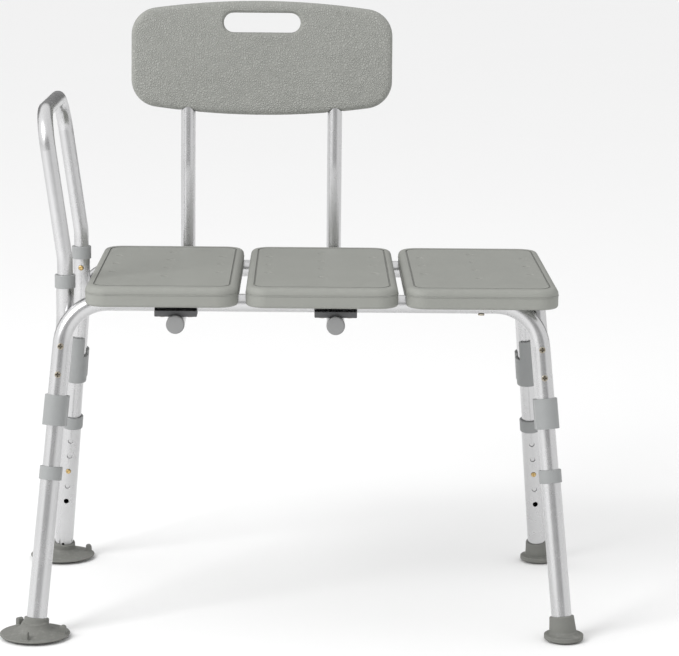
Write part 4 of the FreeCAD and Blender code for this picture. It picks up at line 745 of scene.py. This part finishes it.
@dataclass
class Moulding:
    """A moulded piece formed from overlapping lumps, which one skin then joins with soft fillets.

    Its grain is the size of the skin's cells in millimetres, and passes is how often the skin is smoothed.
    """

    name: str
    grain: float = 0.8
    passes: int = 6
    lumps: bmesh.types.BMesh = field(default_factory=bmesh.new)

    def turned(self, profile: Profile, place: Matrix, steps: int = 96) -> None:
        """Adds a lump turned about its own Z axis.

        Args:
            profile: Radius and height in millimetres, from the lower middle outwards and up.
            place: Where the lump goes, in metres.
            steps: Facets around the axis.
        """
        rings = []
        turns = [2 * math.pi * k / steps for k in range(steps)]
        for radius, height in profile[1:-1]:
            spots = [Vector((radius * MM * math.cos(t), radius * MM * math.sin(t), height * MM))
                     for t in turns]
            rings.append([self.lumps.verts.new(place @ spot) for spot in spots])
        ends = [self.lumps.verts.new(place @ Vector((0, 0, profile[i][1] * MM))) for i in (0, -1)]
        for low, high in zip(rings, rings[1:]):
            for k in range(steps):
                after = (k + 1) % steps
                self.lumps.faces.new((low[k], low[after], high[after], high[k]))
        for k in range(steps):
            after = (k + 1) % steps
            self.lumps.faces.new((ends[0], rings[0][after], rings[0][k]))
            self.lumps.faces.new((ends[1], rings[-1][k], rings[-1][after]))

    def tab(self, place: Matrix, width: float, thickness: float, height: float) -> None:
        """Adds a round-topped pull tab that stands on its own XY plane.

        Args:
            place: Where the tab goes, in metres.
            width: Across the tab, in millimetres.
            thickness: Through the tab, in millimetres.
            height: Up the tab, in millimetres.
        """
        radius = width / 2
        steps = 12
        turns = [math.pi * k / steps for k in range(steps + 1)]
        outline = [(-radius, 0.0), (radius, 0.0)]
        outline += [(radius * math.cos(t), height - radius + radius * math.sin(t)) for t in turns]
        sides = [[self.lumps.verts.new(place @ Vector((x * MM, u * MM, z * MM))) for u, z in outline]
                 for x in (-thickness / 2, thickness / 2)]
        self.lumps.faces.new(reversed(sides[0]))
        self.lumps.faces.new(sides[1])
        for k in range(len(outline)):
            after = (k + 1) % len(outline)
            self.lumps.faces.new((sides[0][k], sides[0][after], sides[1][after], sides[1][k]))

    def formed(self, bore: bpy.types.Object | None = None) -> bpy.types.Object:
        """Joins the lumps under one skin.

        Args:
            bore: Object to cut away afterwards, which is then removed.

        Returns:
            The finished piece, at the origin of the frame.
        """
        bmesh.ops.recalc_face_normals(self.lumps, faces=self.lumps.faces)
        rough = bpy.data.meshes.new(self.name)
        self.lumps.to_mesh(rough)
        self.lumps.free()
        piece = bpy.data.objects.new(self.name, rough)
        bpy.context.scene.collection.objects.link(piece)
        skin = piece.modifiers.new("skin", "REMESH")
        skin.mode = "VOXEL"
        skin.voxel_size = self.grain * MM
        smooth = piece.modifiers.new("smooth", "SMOOTH")
        smooth.factor = 0.5
        smooth.iterations = self.passes
        if bore:
            drill = piece.modifiers.new("bore", "BOOLEAN")
            drill.operation = "DIFFERENCE"
            drill.object = bore
        view = bpy.context.evaluated_depsgraph_get()
        view.update()
        piece.data = bpy.data.meshes.new_from_object(piece.evaluated_get(view))
        piece.data.name = self.name
        piece.modifiers.clear()
        if bore:
            bpy.data.objects.remove(bore)
        piece.data.shade_smooth()
        return piece


# -------------------------------- sub-assemblies

class Run(Enum):
    """Direction in which most of a tube runs."""

    ACROSS = (1.0, 0.0, 0.0)
    FORE_AFT = (0.0, 1.0, 0.0)
    UPRIGHT = (0.0, 0.0, 1.0)


class FootKind(Enum):
    """What a leg stands on."""

    SUCTION = "suction_foot"
    TIP = "rubber_tip"


@dataclass(frozen=True)
class FootForm:
    """How one kind of foot is formed: its skin and smoothing, then its sleeve in millimetres."""

    grain: float
    passes: int
    sleeve_top: float
    flare: float


FOOT_FORMS = {FootKind.SUCTION: FootForm(0.7, 4, 28.0, 1.6), FootKind.TIP: FootForm(0.55, 2, 34.5, 2.6)}


@dataclass
class SubAssembly(ABC):
    """Pieces of the bench that belong together; bodies are the moving groups they sit in."""

    bench: dict
    bodies: tuple[str, ...]

    @abstractmethod
    def owns(self, node: str) -> bool:
        """Tells whether a node of the bodies belongs here.

        Args:
            node: Name of the node.

        Returns:
            True for the sub-assembly's own nodes.
        """

    @abstractmethod
    def run(self, node: str) -> tuple[str, Triple]:
        """Gives the direction a tube was drawn in.

        Args:
            node: Name of the tube's node.

        Returns:
            Short name of the direction and the direction itself.
        """

    def members(self) -> list[str]:
        """Lists the sub-assembly's nodes."""
        groups = self.bench["record"]["behaviour"]["bodies"]
        return [node for body in self.bodies for node in groups[body] if self.owns(node)]

    def build(self) -> None:
        """Builds the pieces that stand for nodes; most sub-assemblies keep the nodes as they are."""

    def dress(self) -> None:
        """Puts a finish on each of the sub-assembly's nodes, chosen by its material slot."""
        slots = {row["node"]: row["material_slot"] for row in self.bench["record"]["subparts"]}
        for node in self.members():
            slot = slots[node]
            if slot in TUBE_SLOTS:
                name, along = self.run(node)
                finish: Finish = Anodised(f"tube_{name}", along)
            else:
                finish = PLAIN_SLOTS[slot]
            materials = self.bench["nodes"][node].data.materials
            materials.clear()
            materials.append(finish.material())

    def make(self) -> None:
        """Builds and dresses the sub-assembly, and logs it."""
        self.build()
        self.dress()
        log.info("%s: %d nodes", type(self).__name__, len(self.members()))


@dataclass
class RailFrame(SubAssembly):
    """Rails, posts, brackets, receivers, caps, saddles and the screws between them."""

    bodies: tuple[str, ...] = ("frame",)

    def owns(self, node: str) -> bool:
        """Owns everything in the fixed body but the seat."""
        return not node.endswith("_seat_panel")

    def run(self, node: str) -> tuple[str, Triple]:
        """Gives posts their leg's slide; rails run across, and receivers fore and aft.

        Args:
            node: Name of the tube's node.

        Returns:
            Short name of the direction and the direction itself.
        """
        for joint in self.bench["joints"]:
            corner = joint["name"].removesuffix("_leg_height")
            if node == f"{corner}_post":
                return corner, tuple(joint["axis"])
        run = Run.ACROSS if node.endswith("_rail") else Run.FORE_AFT
        return run.name.lower(), run.value


@dataclass
class Seat(SubAssembly):
    """Three moulded panels."""

    bodies: tuple[str, ...] = ("frame",)

    def owns(self, node: str) -> bool:
        """Owns the panels."""
        return node.endswith("_seat_panel")

    def run(self, node: str) -> tuple[str, Triple]:
        """The seat has no tubes; its mouldings flow fore and aft."""
        return Run.FORE_AFT.name.lower(), Run.FORE_AFT.value


@dataclass
class Leg(SubAssembly):
    """One telescoping leg with its collar, snap button, spring and foot, in millimetres and degrees."""

    corner: str = "front_left"
    kind: FootKind = FootKind.SUCTION
    bore_radius: float = 14.4
    bore_start: float = 11.9
    bore_length: float = 60.0
    sleeve_wall: float = 3.2
    sleeve_foot: float = 4.0
    sleeve_taper: tuple[float, float] = (0.4, 8.0)
    sleeve_lip: tuple[float, float] = (0.6, 1.6)
    tab_turns: tuple[float, ...] = (127.0, 257.0, 350.0)
    tab_length: float = 9.0
    tab_thickness: float = 8.6
    tab_inset: float = 4.5
    tab_foot: float = 3.5
    tab_height: float = 19.5

    def owns(self, node: str) -> bool:
        """Owns all of its bodies' nodes."""
        return True

    def run(self, node: str) -> tuple[str, Triple]:
        """The leg's tube follows its slide."""
        return self.corner, tuple(self.axis())

    def axis(self) -> Vector:
        """Returns the direction in which the leg slides."""
        name = f"{self.corner}_leg_height"
        return Vector(next(j["axis"] for j in self.bench["joints"] if j["name"] == name)).normalized()

    def profile(self, rim: float) -> Profile:
        """Gives half the foot's outline.

        Args:
            rim: The foot's radius at the floor.

        Returns:
            Radii and heights from the lower middle to the upper middle.
        """
        if self.kind is FootKind.SUCTION:
            return [(0, 4.5), (rim - 18, 3.2), (rim - 13, 0.0), (rim - 11, 0.0), (rim - 6, 3.2),
                    (rim - 1, 4.2), (rim, 5.4), (rim - 0.8, 6.6), (rim - 6, 7.8), (rim - 13, 9.0),
                    (rim - 19, 10.2),
                    (rim - 24, 12.0), (rim - 28, 15.0), (rim - 30.6, 19.0), (rim - 31.6, 22.0), (0, 22.0)]
        return [(0, 1.2), (rim - 10, 0.8), (rim - 8, 0.0), (rim - 6, 0.0), (rim - 3, 2.2), (rim - 0.3, 2.8),
                (rim, 3.8), (rim, 8.6), (rim - 0.6, 9.4), (rim - 6.5, 10.0), (rim - 8.4, 11.5),
                (rim - 9.4, 13.5), (0, 13.5)]

    def build(self) -> None:
        """Forms the foot as one soft moulding and puts it in place of the foot's node."""
        node = f"{self.corner}_{self.kind.value}"
        low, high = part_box(node)
        rim = (high.y - low.y) / 2 / MM
        along = self.axis()
        sideways = 1 if self.corner.startswith("front") else -1
        base = Vector((self.floor_x(low, high, rim), (low.y + high.y) / 2, 0.0))
        lean = Matrix.Translation(base) @ along.to_track_quat("Z", "Y").to_matrix().to_4x4()
        form = FOOT_FORMS[self.kind]
        shape = Moulding(f"{node}_moulding", form.grain, form.passes)
        shape.turned(self.profile(rim), Matrix.Translation(base))
        outer = self.bore_radius + self.sleeve_wall
        top = form.sleeve_top
        wider, below = self.sleeve_taper
        inset, drop = self.sleeve_lip
        sleeve = [(0, self.sleeve_foot), (outer + form.flare, self.sleeve_foot), (outer + wider, top - below),
                  (outer, top - drop), (outer - inset, top), (0, top)]
        shape.turned(sleeve, lean)
        quarter = Matrix.Rotation(math.pi / 2, 4, "Z")
        reach = rim - self.tab_inset - self.tab_length / 2
        out = Matrix.Translation(Vector((reach * MM, 0, self.tab_foot * MM)))
        for turn in self.tab_turns if self.kind is FootKind.SUCTION else ():
            spin = Matrix.Rotation(math.radians(turn * sideways), 4, "Z")
            shape.tab(Matrix.Translation(base) @ spin @ out @ quarter, self.tab_length, self.tab_thickness,
                      self.tab_height - self.tab_foot)
        piece = shape.formed(self.bore(lean))
        self.settle(piece)
        piece.data.materials.append(FOOT.material())
        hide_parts(node)
        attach(piece, f"{self.corner}_leg_body")

    def floor_x(self, low: Vector, high: Vector, rim: float) -> float:
        """Finds the foot's middle across the bench.

        Args:
            low: Lowest corner of the foot's box.
            high: Highest corner of the foot's box.
            rim: The foot's radius in millimetres.

        Returns:
            The middle's X; a leg leans inwards, so the outer rim is the sure one.
        """
        outwards = -1 if self.corner.endswith("left") else 1
        return low.x + rim * MM if outwards < 0 else high.x - rim * MM

    def bore(self, lean: Matrix) -> bpy.types.Object:
        """Makes the drill for the leg's socket.

        Args:
            lean: The leg's own frame on the floor.

        Returns:
            A cylinder along the leg.
        """
        mesh = bpy.data.meshes.new("bore")
        shape = bmesh.new()
        radius = self.bore_radius * MM
        bmesh.ops.create_cone(shape, cap_ends=True, segments=72, radius1=radius, radius2=radius,
                              depth=self.bore_length * MM)
        middle = self.bore_start + self.bore_length / 2
        shape.transform(lean @ Matrix.Translation(Vector((0, 0, middle * MM))))
        shape.to_mesh(mesh)
        shape.free()
        drill = bpy.data.objects.new("bore", mesh)
        bpy.context.scene.collection.objects.link(drill)
        drill.hide_render = True
        return drill

    @staticmethod
    def settle(piece: bpy.types.Object) -> None:
        """Moves a piece up or down until it rests on the floor.

        Args:
            piece: The foot.
        """
        lowest = min(vertex.co.z for vertex in piece.data.vertices)
        piece.data.transform(Matrix.Translation(Vector((0, 0, -lowest))))


@dataclass
class Handle(SubAssembly):
    """Side handle with its two snap buttons and springs."""

    bodies: tuple[str, ...] = ("handle", "front_handle_button_body", "rear_handle_button_body")

    def owns(self, node: str) -> bool:
        """Owns all of its bodies' nodes."""
        return True

    def run(self, node: str) -> tuple[str, Triple]:
        """The handle's tube stands upright for most of its length."""
        return Run.UPRIGHT.name.lower(), Run.UPRIGHT.value


@dataclass
class Backrest(SubAssembly):
    """Plate on two bent tubes; the plate's rim and hand slot are rolled softly over."""

    bodies: tuple[str, ...] = ("backrest", "left_backrest_button_body", "right_backrest_button_body")
    skin: float = 1.6
    soften: int = 14
    weld: float = 1e-6

    def owns(self, node: str) -> bool:
        """Owns all of its bodies' nodes."""
        return True

    def run(self, node: str) -> tuple[str, Triple]:
        """The tubes stand upright for most of their length."""
        return Run.UPRIGHT.name.lower(), Run.UPRIGHT.value

    def build(self) -> None:
        """Forms the plate from its node's own outline, with softer edges."""
        node = self.bench["nodes"]["backrest_plate"]
        shape = Moulding("backrest_plate_moulding", self.skin, self.soften)
        shape.lumps.from_mesh(node.data)
        bmesh.ops.remove_doubles(shape.lumps, verts=shape.lumps.verts, dist=self.weld)
        piece = shape.formed()
        piece.data.materials.append(BACK.material())
        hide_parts("backrest_plate")
        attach(piece, "backrest")


# -------------------------------- studio

@dataclass
class Studio:
    """Pale floor, white surroundings and soft light from the left and above.

    The flag is a dark band behind the bench, for the tubes to reflect; flag_edge is where it begins, as the
    share of a level direction that points back. The camera itself sees plain white.
    """

    floor_size: float = 60.0
    key_power: float = 90.0
    key_place: Triple = (-2.6, -2.4, 2.9)
    key_size: float = 1.7
    key_aim: Triple = (0.0, 0.0, 0.4)
    surround: float = 1.06
    seen_white: float = 1.05
    flag_edge: float = 0.60
    flag_blur: float = 0.06
    flag_depth: float = 0.80
    front_depth: float = 0.58
    front_span: tuple[float, float] = (-0.70, -0.90)
    level_span: tuple[float, float] = (0.62, 0.38)
    side_span: float = 0.9
    side_levels: tuple[float, float] = (1.12, 0.88)
    floor_white: float = 0.93
    floor_roughness: float = 0.85
    floor_specular: float = 0.1

    def floor(self) -> None:
        """Makes the floor as one large sheet that the feet stand on."""
        half = self.floor_size / 2
        mesh = bpy.data.meshes.new("floor")
        corners = [(-half, -half, 0), (half, -half, 0), (half, half, 0), (-half, half, 0)]
        mesh.from_pydata(corners, [], [(0, 1, 2, 3)])
        sheet = bpy.data.objects.new("floor", mesh)
        bpy.context.scene.collection.objects.link(sheet)
        paint = bpy.data.materials.new("floor_paint")
        paint.use_nodes = True
        graph = Graph(paint.node_tree)
        shader = next(n for n in paint.node_tree.nodes if n.type == "BSDF_PRINCIPLED")
        where = graph.node("ShaderNodeTexCoord").outputs["Object"]
        white = (self.floor_white, self.floor_white, self.floor_white, 1)
        tone = Mottle.add(graph, Vector=where, Colour=white, Scale=0.7, Amount=0.004)
        graph.feed(shader.inputs["Base Color"], tone["Colour"])
        shader.inputs["Roughness"].default_value = self.floor_roughness
        shader.inputs["Specular IOR Level"].default_value = self.floor_specular
        mesh.materials.append(paint)

    def light(self) -> None:
        """Adds the key light, aimed at the seat."""
        data = bpy.data.lights.new("key", "AREA")
        data.energy = self.key_power
        data.size = self.key_size
        lamp = bpy.data.objects.new("key", data)
        lamp.location = self.key_place
        lamp.rotation_mode = "QUATERNION"
        lamp.rotation_quaternion = (Vector(self.key_aim) - Vector(self.key_place)).to_track_quat("-Z", "Y")
        bpy.context.scene.collection.objects.link(lamp)

    def surroundings(self) -> None:
        """Makes white surroundings with a dark flag behind the bench and a dimmer front."""
        world = bpy.data.worlds.new("studio")
        bpy.context.scene.world = world
        world.use_nodes = True
        world.node_tree.nodes.clear()
        graph = Graph(world.node_tree)
        ray = graph.node("ShaderNodeTexCoord").outputs["Generated"]
        split = graph.node("ShaderNodeSeparateXYZ", {0: ray})
        across, along, up = (split.outputs[axis] for axis in "XYZ")
        flat = graph.maths("SQRT", graph.maths("ADD", graph.maths("MULTIPLY", across, across),
                                               graph.maths("MULTIPLY", along, along)))
        back = graph.maths("DIVIDE", along, graph.maths("MAXIMUM", flat, 0.001))
        flag = graph.remap(back, self.flag_edge, self.flag_edge + self.flag_blur)
        front = graph.remap(back, *self.front_span)
        dark = graph.maths("MAXIMUM", graph.maths("MULTIPLY", flag, self.flag_depth),
                           graph.maths("MULTIPLY", front, self.front_depth))
        low = graph.remap(graph.maths("ABSOLUTE", up), *self.level_span)
        dim = graph.maths("SUBTRACT", 1.0, graph.maths("MULTIPLY", dark, low))
        side = graph.remap(across, -self.side_span, self.side_span, *self.side_levels)
        level = graph.maths("MULTIPLY", graph.maths("MULTIPLY", dim, side), self.surround)
        seen = graph.node("ShaderNodeLightPath").outputs["Is Camera Ray"]
        lit = graph.node("ShaderNodeBackground", {"Color": (1.0, 1.0, 1.0, 1), "Strength": level})
        plain = graph.node("ShaderNodeBackground", {"Color": (1.0, 1.0, 1.0, 1), "Strength": self.seen_white})
        mixed = graph.node("ShaderNodeMixShader", {0: seen, 1: lit.outputs[0], 2: plain.outputs[0]})
        graph.node("ShaderNodeOutputWorld", {"Surface": mixed.outputs[0]})

    def build(self) -> None:
        """Builds the studio."""
        self.floor()
        self.light()
        self.surroundings()
        bpy.context.scene.view_settings.view_transform = "Standard"
        log.info("studio ready")


@dataclass
class Viewpoint:
    """Camera in front of the bench, a little higher than its back."""

    place: Triple = (0.0179, -3.9089, 1.1026)
    pitch: float = 10.0593
    yaw: float = 0.706
    roll: float = 0.5624
    lens: float = 142.94
    sensor: float = 36.0
    reach: float = 200.0

    def build(self) -> None:
        """Makes the camera and sets it as the scene's."""
        pitch, yaw, roll = (math.radians(a) for a in (self.pitch, self.yaw, self.roll))
        ahead = Vector((math.sin(yaw) * math.cos(pitch), math.cos(yaw) * math.cos(pitch), -math.sin(pitch)))
        right = ahead.cross(Vector((0, 0, 1))).normalized()
        up = right.cross(ahead)
        turned, upright = math.sin(roll), math.cos(roll)
        right, up = right * upright + up * turned, up * upright - right * turned
        data = bpy.data.cameras.new("camera")
        data.lens = self.lens
        data.sensor_width = self.sensor
        data.clip_end = self.reach
        camera = bpy.data.objects.new("camera", data)
        camera.matrix_world = Matrix((right, up, -ahead)).transposed().to_4x4()
        camera.location = self.place
        bpy.context.scene.collection.objects.link(camera)
        bpy.context.scene.camera = camera
        log.info("camera ready")


def main() -> None:
    """Builds the scene in order."""
    Viewpoint().build()
    Studio().build()
    parts: list[SubAssembly] = [RailFrame(frame), Seat(frame), Handle(frame), Backrest(frame)]
    for side, kind in (("left", FootKind.SUCTION), ("right", FootKind.TIP)):
        for end in ("front", "rear"):
            corner = f"{end}_{side}"
            parts.append(Leg(frame, (f"{corner}_leg_body", f"{corner}_button_body"), corner, kind))
    for part in parts:
        part.make()


if __name__ == "__main__":
    main()
